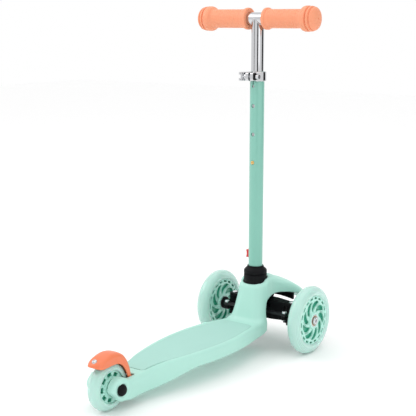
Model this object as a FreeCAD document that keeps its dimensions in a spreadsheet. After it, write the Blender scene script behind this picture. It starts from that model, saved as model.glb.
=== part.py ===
import FreeCAD, Part
import math
import os
import re
from FreeCAD import Placement, Rotation, Vector

# Three-wheel kick scooter. Forward is -Y, the rider's right is -X, +Z is up, and the origin is under the
# middle of the object. Lengths along Y are given from the front axle, and front_axle_y moves them into place.

# ---------------------------------------------------------------- driving dimensions, in millimetres

SIZES = {
    # where things stand
    "front_axle_y": -183,
    "wheel_base": 416,
    "half_track": 98.2,
    "column_y": 24.5,
    "kingpin_x": 62,
    "tie_rod_y": 24,
    "lean_axis_z": 90,
    # wheels and bearings
    "front_wheel_r": 60,
    "front_core_r": 43,
    "rear_wheel_r": 38,
    "rear_core_r": 25,
    "tyre_half": 12,
    "rear_tyre_half": 11,
    "bearing_r": 11,
    "bearing_bore_r": 4,
    "bearing_width": 7,
    "hub_r": 14.5,
    # deck moulding
    "deck_top_z": 55,
    "deck_bottom_z": 32.5,
    "deck_half": 53,
    "fork_gap_half": 15,
    "wall": 4,
    "mat_thick": 1.5,
    "crown_r": 110,
    # column
    "tube_r": 12.5,
    "tube_bore_r": 11.2,
    "tube_foot_z": 80.5,
    "tube_top_z": 492,
    "stem_r": 11,
    "stem_bore_r": 9.5,
    "stem_foot_z": 296,
    "bar_z": 581,
    "bar_half": 118,
    "grip_tip_x": 120.3,
    "height_hole_z": 334.3,
    "height_step": 49.3,
    "button_r": 3.4,
    "socket_r": 20.5,
    "socket_foot_z": 76,
    "socket_seat_z": 118.5,
    "clamp_y": 19,
    "clamp_z": 483.5,
    "release_z": 169,
    # brake
    "brake_pivot_y": 371,
    "brake_pivot_z": 41,
    "fender_half": 14.2,
    "fender_tip_y": 451.5,
    "fender_wall": 2.2,
    "fork_end_r": 17.2,
    # general fits
    "running": 0.05,
}

doc = FreeCAD.newDocument("KickScooter")
sheet = doc.addObject("Spreadsheet::Sheet", "Sizes")
for row, (alias, number) in enumerate(SIZES.items(), start=1):
    sheet.set(f"A{row}", alias)
    sheet.set(f"B{row}", str(number))
    sheet.setAlias(f"B{row}", alias)
doc.recompute()

NODES = {}


# ---------------------------------------------------------------- helpers

def bound(text):
    """An expression on the sheet, from a size written with plain names."""
    return re.sub(r"[a-z]\w+", lambda word: "Sizes." + word.group(0) if word.group(0) in SIZES else word.group(0),
                  str(text))


def size(text):
    """The number that such a size has now."""
    return float(sheet.evalExpression(bound(text)))


def place(item, x=0, y=0, z=0, rotation=None):
    """Put an object at x, y from the front axle, z, each bound to the sheet."""
    item.Placement = Placement(Vector(size(x), size(f"front_axle_y + {y}"), size(z)), rotation or Rotation())
    item.setExpression("Placement.Base.x", bound(x))
    item.setExpression("Placement.Base.y", bound(f"front_axle_y + {y}"))
    item.setExpression("Placement.Base.z", bound(z))
    return item


def node(name, item):
    """Keep an object as the sub-part of that name."""
    item.Label = name
    NODES[name] = item
    return item


def polar(radius, degrees):
    return f"({radius}) * cos({degrees})", f"({radius}) * sin({degrees})"


def add_outline(sketch, path):
    """A closed outline. A step of two sizes is a straight run to that point, and a step of four is an arc
    through the first point to the second."""
    first = spot(path[0])
    steps = path[1:] if (spot(path[-1]) - first).Length < 1e-6 else path[1:] + [path[0]]
    anchor = sketch.addGeometry(Part.Point(first), True)
    pin(sketch, anchor, 1, *path[0])
    previous, start, bends = (anchor, 1), first, []
    for index, step in enumerate(steps):
        end = spot(step)
        near, far = 1, 2
        if len(step) == 4:
            middle = Vector(size(step[0]), size(step[1]), 0)
            near, far = (1, 2) if (middle - start).cross(end - middle).z > 0 else (2, 1)
            edge = sketch.addGeometry(anticlockwise(start, middle, end, near == 1), False)
            bends.append((edge, sketch.Geometry[edge].Radius))
        else:
            edge = sketch.addGeometry(Part.LineSegment(start, end), False)
        sketch.addConstraint(sketcher("Coincident", previous[0], previous[1], edge, near))
        if index == len(steps) - 1:
            sketch.addConstraint(sketcher("Coincident", edge, far, anchor, 1))
        else:
            pin(sketch, edge, far, step[-2], step[-1])
        previous, start = (edge, far), end
    for edge, radius in bends:
        sketch.addConstraint(sketcher("Radius", edge, radius))


def anticlockwise(start, middle, end, forward):
    """An arc through three points, stored anticlockwise, which is how a sketch counts its two ends."""
    through = Part.Circle(start, middle, end)
    circle = Part.Circle(through.Center, Vector(0, 0, 1), through.Radius)
    first, last = (start, end) if forward else (end, start)
    angles = [math.atan2(point.y - through.Center.y, point.x - through.Center.x) for point in (first, last)]
    if angles[1] < angles[0]:
        angles[1] += 2 * math.pi
    return Part.ArcOfCircle(circle, *angles)


def spot(step):
    """Where a step of an outline ends."""
    return Vector(size(step[-2]), size(step[-1]), 0)


def sketcher(*values):
    import Sketcher
    return Sketcher.Constraint(*values)


def pin(sketch, geometry, point, x, y):
    """Hold a sketch point at x, y from the origin, bound to the sheet, or on an axis where one is nothing."""
    for kind, value, axis in (("DistanceX", x, -2), ("DistanceY", y, -1)):
        if abs(size(value)) < 1e-9:
            sketch.addConstraint(sketcher("PointOnObject", geometry, point, axis))
            continue
        index = sketch.addConstraint(sketcher(kind, -1, 1, geometry, point, size(value)))
        sketch.setExpression(f"Constraints[{index}]", bound(value))


def new_sketch(body, plane, offset=0):
    """A sketch on one of the body's own origin planes, moved along that plane's normal."""
    role = next(item for item in body.Origin.OriginFeatures if item.Role == f"{plane}_Plane")
    drawing = body.newObject("Sketcher::SketchObject", f"{body.Name}_outline")
    drawing.AttachmentSupport = [(role, "")]
    drawing.MapMode = "FlatFace"
    drawing.AttachmentOffset = Placement(Vector(0, 0, size(offset)), Rotation())
    drawing.setExpression("AttachmentOffset.Base.z", bound(offset))
    return drawing


def new_body(name):
    return doc.addObject("PartDesign::Body", name)


def turned(name, axis, path):
    """A body of revolution about X, Y or Z. The path is (along the axis, radius) points."""
    body = new_body(name)
    plane = {"X": "XY", "Y": "YZ", "Z": "XZ"}[axis]
    drawing = new_sketch(body, plane)
    if axis == "Z":
        path = [tuple(swap for pair in zip(step[1::2], step[0::2]) for swap in pair) for step in path]
    add_outline(drawing, path)
    revolution = body.newObject("PartDesign::Revolution", f"{name}_turn")
    revolution.Profile = drawing
    revolution.ReferenceAxis = (drawing, ["V_Axis" if axis == "Z" else "H_Axis"])
    revolution.Angle = 360
    return body


def pad(name, plane, low, high, path, holes=()):
    """A plate drawn on a plane and padded from low to high along X (YZ), Y (XZ) or Z (XY)."""
    body = new_body(name)
    start = f"-({high})" if plane == "XZ" else low
    drawing = new_sketch(body, plane, start)
    add_outline(drawing, path)
    for hole_x, hole_y, radius in holes:
        add_circle(drawing, hole_x, hole_y, radius)
    feature = body.newObject("PartDesign::Pad", f"{name}_pad")
    feature.Profile = drawing
    feature.setExpression("Length", bound(f"({high}) - ({low})"))
    return body


def add_circle(sketch, x, y, radius):
    circle = sketch.addGeometry(Part.Circle(Vector(size(x), size(y), 0), Vector(0, 0, 1), size(radius)), False)
    pin(sketch, circle, 3, x, y)
    index = sketch.addConstraint(sketcher("Radius", circle, size(radius)))
    sketch.setExpression(f"Constraints[{index}]", bound(radius))


def pocket_round_x(body, label, path, start, depth, count, inward=True):
    """Cut one outline, drawn on the YZ plane at start, and repeat it round the X axis."""
    drawing = new_sketch(body, "YZ", start)
    add_outline(drawing, path)
    cut_feature = body.newObject("PartDesign::Pocket", label)
    cut_feature.Profile = drawing
    cut_feature.setExpression("Length", bound(depth))
    cut_feature.Reversed = not inward
    pattern = body.newObject("PartDesign::PolarPattern", f"{label}_round")
    pattern.Originals = [cut_feature]
    x_axis = next(item for item in body.Origin.OriginFeatures if item.Role == "X_Axis")
    pattern.Axis = (x_axis, [""])
    pattern.Angle = 360
    pattern.Occurrences = count
    body.Tip = pattern


def rod(name, axis, radius, low, high):
    """A plain cylinder from low to high along an axis through its own origin."""
    item = doc.addObject("Part::Cylinder", name)
    item.setExpression("Radius", bound(radius))
    item.setExpression("Height", bound(f"({high}) - ({low})"))
    turn = {"X": Rotation(Vector(0, 1, 0), 90), "Y": Rotation(Vector(1, 0, 0), -90), "Z": Rotation()}[axis]
    shift = {"X": Vector(size(low), 0, 0), "Y": Vector(0, size(low), 0), "Z": Vector(0, 0, size(low))}[axis]
    item.Placement = Placement(shift, turn)
    item.setExpression(f"Placement.Base.{axis.lower()}", bound(low))
    return item


def block(name, x_range, y_range, z_range):
    """A box between two sizes each way."""
    item = doc.addObject("Part::Box", name)
    for side, letter, (low, high) in zip(("Length", "Width", "Height"), "xyz", (x_range, y_range, z_range)):
        item.setExpression(side, bound(f"({high}) - ({low})"))
        item.setExpression(f"Placement.Base.{letter}", bound(low))
    return item


def shifted(item, x=0, y=0, z=0):
    """Move a helper shape inside its sub-part's own frame."""
    base = item.Placement.Base
    for letter, start, step in zip("xyz", (base.x, base.y, base.z), (x, y, z)):
        old = next((text for path, text in item.ExpressionEngine if path.endswith(f"Base.{letter}")), str(start))
        item.setExpression(f"Placement.Base.{letter}", f"({old}) + ({bound(step)})")
    return item


def fuse(name, items):
    item = doc.addObject("Part::MultiFuse", name)
    item.Shapes = items
    return item


def cut(name, base, tools):
    item = doc.addObject("Part::Cut", name)
    item.Base = base
    item.Tool = tools[0] if len(tools) == 1 else fuse(f"{name}_tools", tools)
    return item


def common(name, items):
    item = doc.addObject("Part::MultiCommon", name)
    item.Shapes = items
    return item


def group(name, items):
    """Identical pieces in one node, each a solid of its own."""
    item = doc.addObject("Part::Compound", name)
    item.Links = items
    return item


def coil(name, axis, mean_r, wire_r, pitch, turns):
    """A wire spring, drawn with Part's own helix because a body's helix takes no end legs."""
    helix = Part.makeHelix(pitch, pitch * turns, mean_r)
    section = Part.Wire(Part.makeCircle(wire_r, Vector(mean_r, 0, 0), Vector(0, 1, 0)))
    shape = Part.Wire(helix).makePipeShell([section], True, True)
    item = doc.addObject("Part::Feature", name)
    turn = {"X": Rotation(Vector(0, 1, 0), 90), "Y": Rotation(Vector(1, 0, 0), -90), "Z": Rotation()}[axis]
    item.Shape = shape.transformGeometry(Placement(Vector(), turn).toMatrix())
    return item


# ---------------------------------------------------------------- wheels and bearings

def wheel_bearings(prefix, spots):
    """Ball bearings at the given places along X: outer rings with shields, and inner rings with their balls."""
    half = "bearing_width / 2"
    outer_path = [(f"-{half}", "bearing_r"), (half, "bearing_r"), (half, 6.4), (f"{half} - 0.5", 6.4),
                  (f"{half} - 0.5", 9.2), (f"0.5 - {half}", 9.2), (f"0.5 - {half}", 6.4), (f"-{half}", 6.4)]
    inner_path = [(f"-{half}", "bearing_bore_r"), (half, "bearing_bore_r"), (half, 5.9), (f"-{half}", 5.9)]
    outer = [turned(f"{prefix}_outer", "X", outer_path) for _ in spots]
    inner = [turned(f"{prefix}_inner", "X", inner_path) for _ in spots]
    balls = []
    for spot in spots:
        for index in range(7):
            ball = doc.addObject("Part::Sphere", f"{prefix}_ball")
            ball.Radius = 1.6
            ball_y, ball_z = polar(7.55, index * 360 / 7)
            ball.setExpression("Placement.Base.x", bound(spot))
            ball.setExpression("Placement.Base.y", bound(ball_y))
            ball.setExpression("Placement.Base.z", bound(ball_z))
            balls.append(ball)
    for items in (outer, inner):
        for item, spot in zip(items, spots):
            item.setExpression("Placement.Base.x", bound(spot))
    return group(f"{prefix}_outers", outer), group(f"{prefix}_inners", inner + balls)


SWIRL_POCKET = [polar(17, 0), (*polar(24, 0), *polar(29, 12)), (*polar(31.5, 22), *polar(29, 32)),
                (*polar(24, 15), *polar(17, 0))]
SWIRL_SLIT = [polar(21, 22), polar(31, 38), polar(31, 41.5), polar(21, 25.5)]


def front_wheel(side, sign):
    """One front wheel. Both are the same parts, and the right one is turned half way round."""
    turn = Rotation(Vector(0, 0, 1), 0 if sign > 0 else 180)
    at = {"x": f"{sign} * half_track", "z": "front_wheel_r", "rotation": turn}

    core = turned(f"core_{side}", "X", [
        ("tyre_half", "bearing_r"), ("tyre_half", "hub_r"), (9, "hub_r + 1"), (9, "front_core_r"),
        (-9, "front_core_r"), (-9, "hub_r + 1"), ("-tyre_half", "hub_r"), ("-tyre_half", "bearing_r"),
        (-5, "bearing_r"), (-5, 9.8), (5, 9.8), (5, "bearing_r")])
    for face, start in (("outside", 9), ("inside", -9)):
        inward = face == "outside"
        pocket_round_x(core, f"pocket_{face}", SWIRL_POCKET, start, 6.5, 9, inward)
        pocket_round_x(core, f"slit_{face}", SWIRL_SLIT, start, 4, 9, inward)
    window = [polar(38, -6.5), polar(38, 6.5), polar(41.3, 6.5), polar(41.3, -6.5)]
    pocket_round_x(core, "rim_window", window, 9, 18, 18)
    place(node(f"front_wheel_core_{side}", core), **at)

    tyre = turned(f"tyre_{side}", "X", [
        (-9, "front_core_r"), (9, "front_core_r"), ("tyre_half", 48.5),
        (0, "front_wheel_r", "-tyre_half", 48.5)])
    lamp = lamp_body(f"lamp_{side}", 5.8)
    lamp_room = lamp_body(f"lamp_room_{side}", 6)
    place(node(f"front_tyre_{side}", cut(f"tyre_cut_{side}", tyre, [lamp_room])), **at)
    place(node(f"lamp_modules_{side}", lamp), **at)

    outers, inners = wheel_bearings(f"bearing_{side}", ["8.5", "-8.5"])
    place(node(f"front_bearings_{side}", outers), **at)
    place(node(f"front_bearing_inners_{side}", inners), **at)

    magnet = turned(f"magnet_{side}", "X", [
        (-5, "bearing_bore_r"), (5, "bearing_bore_r"), (5, 5.9), (4.6, 5.9), (4.6, 9.4), (-4.6, 9.4),
        (-4.6, 5.9), (-5, 5.9)])
    place(node(f"magnet_spacer_{side}", magnet), **at)

    # a shoulder bolt: domed head outside, shank through the bearings into the knuckle
    bolt = turned(f"bolt_{side}", "X", [
        (-29.5, 0), (-29.5, 2.98), (-12, 2.98), (-12, "bearing_bore_r - 0.02"), ("tyre_half", "bearing_bore_r - 0.02"),
        ("tyre_half", 6.3), (14, 6.3), (14.8, 5.5), (14.8, 2.6), (12.8, 2.6), (12.8, 0)])
    place(node(f"front_axle_bolt_{side}", bolt), **at)


def lamp_body(name, height):
    """Four small blocks round the inside of the tyre."""
    body = new_body(name)
    drawing = new_sketch(body, "XY", "front_core_r + 0.05")
    half_wide, half_long = 5, 6.5
    add_outline(drawing, [(-half_long, -half_wide), (half_long, -half_wide), (half_long, half_wide),
                          (-half_long, half_wide)])
    raised = body.newObject("PartDesign::Pad", f"{name}_pad")
    raised.Profile = drawing
    raised.Length = height
    pattern = body.newObject("PartDesign::PolarPattern", f"{name}_round")
    pattern.Originals = [raised]
    x_axis = next(item for item in body.Origin.OriginFeatures if item.Role == "X_Axis")
    pattern.Axis = (x_axis, [""])
    pattern.Angle = 360
    pattern.Occurrences = 4
    body.Tip = pattern
    return body


def rear_wheel():
    at = {"y": "wheel_base", "z": "rear_wheel_r"}
    core = turned("core_rear", "X", [
        ("rear_tyre_half", "bearing_r"), ("rear_tyre_half", "hub_r"), (8, "hub_r + 1"), (8, "rear_core_r"),
        (-8, "rear_core_r"), (-8, "hub_r + 1"), ("-rear_tyre_half", "hub_r"), ("-rear_tyre_half", "bearing_r"),
        (-4, "bearing_r"), (-4, 7), (4, 7), (4, "bearing_r")])
    window = [polar(17.5, -13), polar(17.5, 13), polar(22.5, 14), polar(23, 0), polar(22.5, -14)]
    pocket_round_x(core, "window_right", window, 8, 5.5, 9)
    pocket_round_x(core, "window_left", window, -8, 5.5, 9, inward=False)
    place(node("rear_wheel_core", core), **at)
    tyre = turned("tyre_rear", "X", [
        (-8, "rear_core_r"), (8, "rear_core_r"), ("rear_tyre_half", 28.5), (0, "rear_wheel_r", "-rear_tyre_half", 28.5)])
    place(node("rear_tyre", tyre), **at)
    outers, inners = wheel_bearings("bearing_rear", ["7.5", "-7.5"])
    place(node("rear_bearings", outers), **at)
    place(node("rear_bearing_inners", inners), **at)
    sleeves = [turned("rear_sleeve", "X", [(low, "bearing_bore_r"), (high, "bearing_bore_r"), (high, 5.9), (low, 5.9)])
               for low, high in ((-14.9, -11), (-4, 4), (11, 14.9))]
    place(node("rear_axle_sleeves", group("rear_sleeves", sleeves)), **at)
    bolt = turned("bolt_rear", "X", [
        (-30.5, 0), (-30.5, 6.5), (-26.4, 6.5), (-26.4, "bearing_bore_r"), (26, "bearing_bore_r"), (26, 3),
        (31, 3), (31, 0)])
    place(node("rear_axle_bolt", bolt), **at)
    nut = turned("nut_rear", "X", [(26.4, 3), (30.4, 3), (30.4, 6.5), (26.4, 6.5)])
    place(node("rear_axle_nut", nut), **at)
    caps = []
    for sign in (1, -1):
        path = [(28.8, 8.75), (31.5, 8.75), (33.6, 7.2), (34.8, 4.6), (35.2, 2), (35.2, 0), (33.2, 0), (33.2, 7.2),
                (28.8, 7.2)]
        path = [tuple(f"{sign} * {value}" if index % 2 == 0 else value for index, value in enumerate(step))
                for step in path]
        caps.append(turned(f"cap_rear_{'left' if sign > 0 else 'right'}", "X", path))
    place(node("rear_axle_caps", group("rear_caps", caps)), **at)


front_wheel("left", 1)
front_wheel("right", -1)
rear_wheel()


# ---------------------------------------------------------------- deck moulding

def ring_point(radius, degrees):
    """A point round the rear axle, as y and z."""
    return f"wheel_base + ({radius}) * cos({degrees})", f"rear_wheel_r + ({radius}) * sin({degrees})"


def mirrored(points):
    """A right-hand outline of (x, y) steps, walked forward, and then back with x turned over."""
    back = []
    ends = [step[-2:] for step in points]
    for index in range(len(points) - 1, 0, -1):
        step = points[index]
        target = (f"-({ends[index - 1][0]})", ends[index - 1][1])
        back.append((f"-({step[0]})", step[1], *target) if len(step) == 4 else target)
    start = (f"-({ends[-1][0]})", ends[-1][1])
    return points + [start] + back


def deck_outline(inset):
    """The platform's outline from above, with its long curved sides."""
    return mirrored([
        (f"33 - {inset}", f"30 + {inset}"), (f"46.5 - {inset}", 105, f"deck_half - {inset}", 175),
        (f"46.5 - {inset}", 250, f"27 - {inset}", f"338 - {inset}")])


def rounded_box_outline(half_x, front, back, corner):
    """A rounded rectangle from above."""
    slant = f"({corner}) * 0.2929"
    return mirrored([
        (f"({half_x}) - ({corner})", front),
        (f"({half_x}) - {slant}", f"({front}) + {slant}", half_x, f"({front}) + ({corner})"),
        (half_x, f"({back}) - ({corner})"),
        (f"({half_x}) - {slant}", f"({back}) - {slant}", f"({half_x}) - ({corner})", back)])


def loft(name, sections):
    """A body through outlines on planes of one kind: (plane, offset, path)."""
    body = new_body(name)
    drawings = []
    for plane, offset, path in sections:
        drawing = new_sketch(body, plane, offset)
        add_outline(drawing, path)
        drawings.append(drawing)
    feature = body.newObject("PartDesign::AdditiveLoft", f"{name}_loft")
    feature.Profile = drawings[0]
    feature.Sections = drawings[1:]
    feature.Ruled = False
    return body


def hump(name, inset):
    """The rising front of the deck, narrowing upwards to the column."""
    return loft(name, [
        ("XY", "40", rounded_box_outline(f"37 - {inset}", f"-6 + {inset}", f"68 - {inset}", f"22 - {inset}")),
        ("XY", "80", rounded_box_outline(f"30 - {inset}", f"-8 + {inset}", f"56 - {inset}", f"22 - {inset}")),
        ("XY", f"122 - {inset}", rounded_box_outline(f"25.5 - {inset}", f"-9 + {inset}", f"49 - {inset}",
                                                    f"20 - {inset}"))])


# places along the nose, from the column forwards: y, half width, ridge height, rim height
NOSE = [(14, 27, 125.5, 98.5), (-12, 44, 125.2, 99), (-36, 54, 118.5, 92.5), (-60, 52, 105.4, 83.5),
        (-77, 42, 93, 75.5), (-88, 27, 81.5, 70.5)]


def nose_section(half, ridge, rim):
    """The nose cut across: a crowned top over straight sides."""
    drop = f"({half}) ^ 2 / (2 * crown_r)"
    return [(f"-({half})", rim), (f"-({half})", f"({ridge}) - {drop}"), (0, ridge, half, f"({ridge}) - {drop}"),
            (half, rim)]


def nose(name, inset):
    sections = []
    for index, (along, half, ridge, rim) in enumerate(NOSE):
        inner_y = f"{along} + {inset}" if index == len(NOSE) - 1 else along
        bottom = rim if inset == 0 else f"{rim} - 12"
        sections.append(("XZ", f"-({inner_y})", nose_section(f"{half} - {inset}", f"{ridge} - {inset}", bottom)))
    return loft(name, sections)


def deck_moulding():
    side = pad("deck_side", "YZ", "-70", "70", [
        (30, "deck_bottom_z"), (30, "deck_top_z"), (343, "deck_top_z"), (349, 54, 355, 50), (360, 47.5),
        (386, 47.5), (*ring_point("fork_end_r + 3.2", 140), *ring_point("fork_end_r", 116)),
        (*ring_point("fork_end_r", 40), *ring_point("fork_end_r", -35)), (420, 22.8),
        (411, 19.4, 402, 17.2), (386, 14.4, 368, 15), (300, 24), (262, "deck_bottom_z")])
    plan = pad("deck_plan", "XY", "0", "70", mirrored([
        (33, 30), (46.5, 105, "deck_half", 175), (46.5, 250, 27, 338), (25, 352), (26.4, 385), (28.6, 404),
        (28.6, 440)]))
    platform = common("platform", [side, plan])
    shell = fuse("deck_outer", [platform, hump("hump_outer", 0), nose("nose_outer", 0)])

    # hollow underside, with ribs left across and along it
    ribs = [block("rib_along", ("-1.5", "1.5"), ("20", "345"), ("20", "60"))]
    for index in range(6):
        ribs.append(block("rib_across", ("-60", "60"), (f"108 + {index} * 38", f"111 + {index} * 38"), ("20", "60")))
    hollow = cut("underside_hollow", pad("underside_plan", "XY", "10", "deck_top_z - 4.5",
                                         deck_outline("wall + 1")), ribs)
    # the arch over the truck, open to both sides
    arch = pad("arch", "YZ", "-70", "70", [
        (-100, 20), (41.5, 20), (41.5, 46), (38, 62, 31, 84), (24, 95, 6, 98.5), (-12, 98.8), (-36, 92.3),
        (-60, 83.3), (-77, 75.3), (-88, 70.3), (-100, 66)])
    # the wheel's gap, with a lip over the brake's pivot
    well = block("wheel_well", ("-fork_gap_half", "fork_gap_half"), ("brake_pivot_y - 1", "460"), ("0", "80"))
    pivot_room = block("pivot_room", ("-fork_gap_half", "fork_gap_half"), ("brake_pivot_y - 8.5", "400"), ("0", "46"))
    mat_room = pad("mat_room", "XY", "deck_top_z - mat_thick", "deck_top_z + 5", mat_outline(0))
    open_shell = cut("deck_open", shell, [
        hollow, arch, hump("hump_inner", "wall"), nose("nose_inner", "wall"), well, pivot_room, mat_room,
        block("foot_room", ("-33", "33"), ("25", "63"), ("10", "deck_top_z - 5"))])

    # what holds the column's socket and the truck mount
    boss = shifted(rod("socket_boss", "Z", "socket_r + 0.5", "socket_foot_z + 3", "socket_seat_z + 1"), y="column_y")
    web = block("socket_web", ("-3", "3"), ("column_y + 10", "50"), ("socket_foot_z + 3", "104"))
    wings = block("socket_wings", ("-26", "26"), ("column_y - 2", "column_y + 2"), ("socket_foot_z + 8", "112"))
    pillars = [shifted(rod("mount_pillar", "Z", 5, "109.4", "117.5"), x=x, y=y)
               for x in (11, -11) for y in (-10, -32)]
    rear_wall = block("hump_front_wall", ("-31", "31"), ("41.5", "45.5"), ("deck_bottom_z", "60"))
    solid = fuse("deck_solid", [open_shell, boss, web, wings, rear_wall] + pillars)

    bores = [shifted(rod("socket_bore", "Z", "17.1", "20", "130"), y="column_y"),
             shifted(rod("socket_seat", "Z", "socket_r + 1", "socket_seat_z", "135"), y="column_y"),
             shifted(rod("rear_axle_hole", "X", "bearing_bore_r + 0.05", "-40", "40"), y="wheel_base",
                     z="rear_wheel_r"),
             shifted(rod("brake_pin_hole", "X", 3, "-22", "22"), y="brake_pivot_y", z="brake_pivot_z")]
    for sign in (1, -1):
        low, high = ("26.2", "40") if sign > 0 else ("-40", "-26.2")
        bores.append(shifted(rod("cap_seat", "X", 8.8, low, high), y="wheel_base", z="rear_wheel_r"))
    for x in (11, -11):
        bores += [shifted(rod("mount_thread", "Z", 1.5, "100", "116"), x=x, y=y) for y in (-10, -32)]
    place(node("deck_moulding", cut("deck_finished", solid, bores)))


def mat_outline(inset):
    """The soft mat's outline: the deck's own curve, with a pointed tail."""
    return mirrored([
        (f"22 - {inset}", f"74 + {inset}"), (f"38 - {inset}", f"118", f"43.5 - {inset}", 175),
        (f"38.5 - {inset}", 245, f"19 - {inset}", 325), (f"3 - {inset} / 2", f"345 - {inset}")])


deck_moulding()
place(node("grip_mat", pad("mat", "XY", "deck_top_z - mat_thick", "deck_top_z + 0.3", mat_outline(0.15))))


# ---------------------------------------------------------------- socket, truck mount and what they carry

def socket_group():
    at = {"y": "column_y"}
    socket = turned("socket", "Z", [
        ("socket_foot_z", 0), ("socket_foot_z", 17), ("socket_seat_z", 17), ("socket_seat_z", "socket_r + 0.8"),
        ("socket_seat_z + 2", "socket_r + 0.8"), ("socket_seat_z + 4", "socket_r"), (134.2, "socket_r"),
        (134.2, "tube_r + 0.1"), ("tube_foot_z - 0.3", "tube_r + 0.1"), ("tube_foot_z - 0.3", 0)])
    holes = [shifted(rod("drive_pin_hole", "Z", 3, "60", "90")),
             shifted(rod("catch_window", "X", 4.2, "10", "18"), z="102")]
    place(node("steering_socket", cut("socket_cut", socket, holes)), **at)
    cap = turned("socket_cap", "Z", [
        (134.4, "tube_r + 0.3"), (134.4, 18.9), (135.6, 18.9), (135.6, "socket_r"), (141.4, "socket_r"),
        (142.4, 19.6), (146.6, 15), (149.5, 14.6), (149.5, "tube_r + 0.3")])
    place(node("socket_cap", cap), **at)
    pin_body = turned("drive_pin_turn", "Z", [(63, 0), (63, 2), (64, 3), (79, 3), (79, 0)])
    place(node("drive_pin", pin_body), **at)


def truck_mount():
    """The black bracket under the nose: a flange, and a hanger at each end of the lean shaft."""
    flange = block("mount_flange", ("-17", "17"), ("-41.5", "3"), ("105", "109.3"))
    front = pad("front_hanger", "XZ", "-46", "-41", [
        (-38, 77.5), (0, 81.5, 38, 77.5), (38, 98.5), (20, 105), (-20, 105), (-38, 98.5)])
    rear = pad("rear_hanger", "XZ", "-2", "3", [(-14, 108), (-10, 82), (10, 82), (14, 108)])
    holes = [shifted(rod("shaft_hole", "Y", 4, "-60", "10"), z="lean_axis_z")]
    holes += [shifted(rod("mount_hole", "Z", 2.1, "95", "115"), x=x, y=y) for x in (11, -11) for y in (-10, -32)]
    place(node("truck_mount", cut("mount_cut", fuse("mount_solid", [flange, front, rear]), holes)))
    screws = []
    for x in (11, -11):
        for y in (-10, -32):
            screw = turned("mount_screw", "Z", [(102.6, 0), (102.6, 3.6), (104.6, 3.6), (105, 3.2), (105, 1.5),
                                                (115, 1.5), (115, 0)])
            place(screw, x, f"{y} - front_axle_y", 0)
            screws.append(screw)
    place(node("mount_screws", group("mount_screw_group", screws)))
    shaft = turned("shaft", "Y", [(-49, 0), (-49, 5.6), (-46.1, 5.6), (-46.1, 3.98), (3.2, 3.98), (3.2, 0)])
    place(node("lean_shaft", shaft), z="lean_axis_z")
    spring = coil("centring_coil", "Y", 5.5, 0.8, 2.6, 5)
    spring.Placement = Placement(Vector(0, size("front_axle_y - 37.5"), size("lean_axis_z")), Rotation())
    node("centring_spring", spring)


socket_group()
truck_mount()


# ---------------------------------------------------------------- front truck

def truck():
    hub = shifted(rod("truck_hub", "Y", 12, "-20", "-3"), z="lean_axis_z")
    beam = pad("truck_web", "XZ", "-10", "10", mirrored([
        (26, 50.5), (51.5, 52.5), (51.5, 84), (26, 86.5)]))
    core = block("truck_core", ("-12", "12"), ("-16", "-3"), ("56", "lean_axis_z"))
    ears = []
    for sign in (1, -1):
        for low, high in (("78.8", "83.8"), ("48", "53")):
            low_x, high_x = ("50", "kingpin_x") if sign > 0 else ("-kingpin_x", "-50")
            ears.append(block("truck_ear", (low_x, high_x), ("-9", "9"), (low, high)))
            ears.append(shifted(rod("truck_ear_end", "Z", 9, low, high), x=f"{sign} * kingpin_x"))
    hollows = [shifted(rod("truck_bore", "Y", "5.5", "-40", "5"), z="lean_axis_z")]
    for sign in (1, -1):
        hollows.append(shifted(rod("kingpin_hole", "Z", 3, "40", "90"), x=f"{sign} * kingpin_x"))
        low_x, high_x = ("18", "48") if sign > 0 else ("-48", "-18")
        hollows.append(block("truck_lightening", (low_x, high_x), ("-12", "3"), ("56", "79")))
    rear_relief = block("truck_back", ("-23", "23"), ("-2.9", "12"), ("72", "110"))
    place(node("truck_beam", cut("truck_cut", fuse("truck_solid", [beam, hub, core] + ears),
                                 hollows + [rear_relief])))
    bushes = [turned("lean_bush_turn", "Y", [(low, 4.05), (high, 4.05), (high, 5.5), (low, 5.5)])
              for low, high in ((-19.8, -12.5), (-10.5, -3.2))]
    place(node("lean_bushes", group("lean_bush_group", bushes)), z="lean_axis_z")
    kingpins = []
    for sign in (1, -1):
        kingpin = turned("kingpin_turn", "Z", [(42.8, 0), (42.8, 3), (83.9, 3), (83.9, 5.2), (85.2, 5.2), (86.6, 3.6),
                                               (86.6, 0)])
        kingpin.setExpression("Placement.Base.x", bound(f"{sign} * kingpin_x"))
        kingpins.append(kingpin)
    place(node("kingpins", group("kingpin_group", kingpins)))
    bar = block("brace_bar", ("-68", "68"), ("-22", "-16"), ("43.4", "47.9"))
    tabs = [block("brace_tab", (low, high), ("-20", "7"), ("43.4", "47.9")) for low, high in (("55", "69"), ("-69", "-55"))]
    pin_holes = [shifted(rod("brace_hole", "Z", 3, "40", "50"), x=f"{sign} * kingpin_x") for sign in (1, -1)]
    place(node("lower_brace", cut("brace_cut", fuse("brace_solid", [bar] + tabs), pin_holes)))


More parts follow.
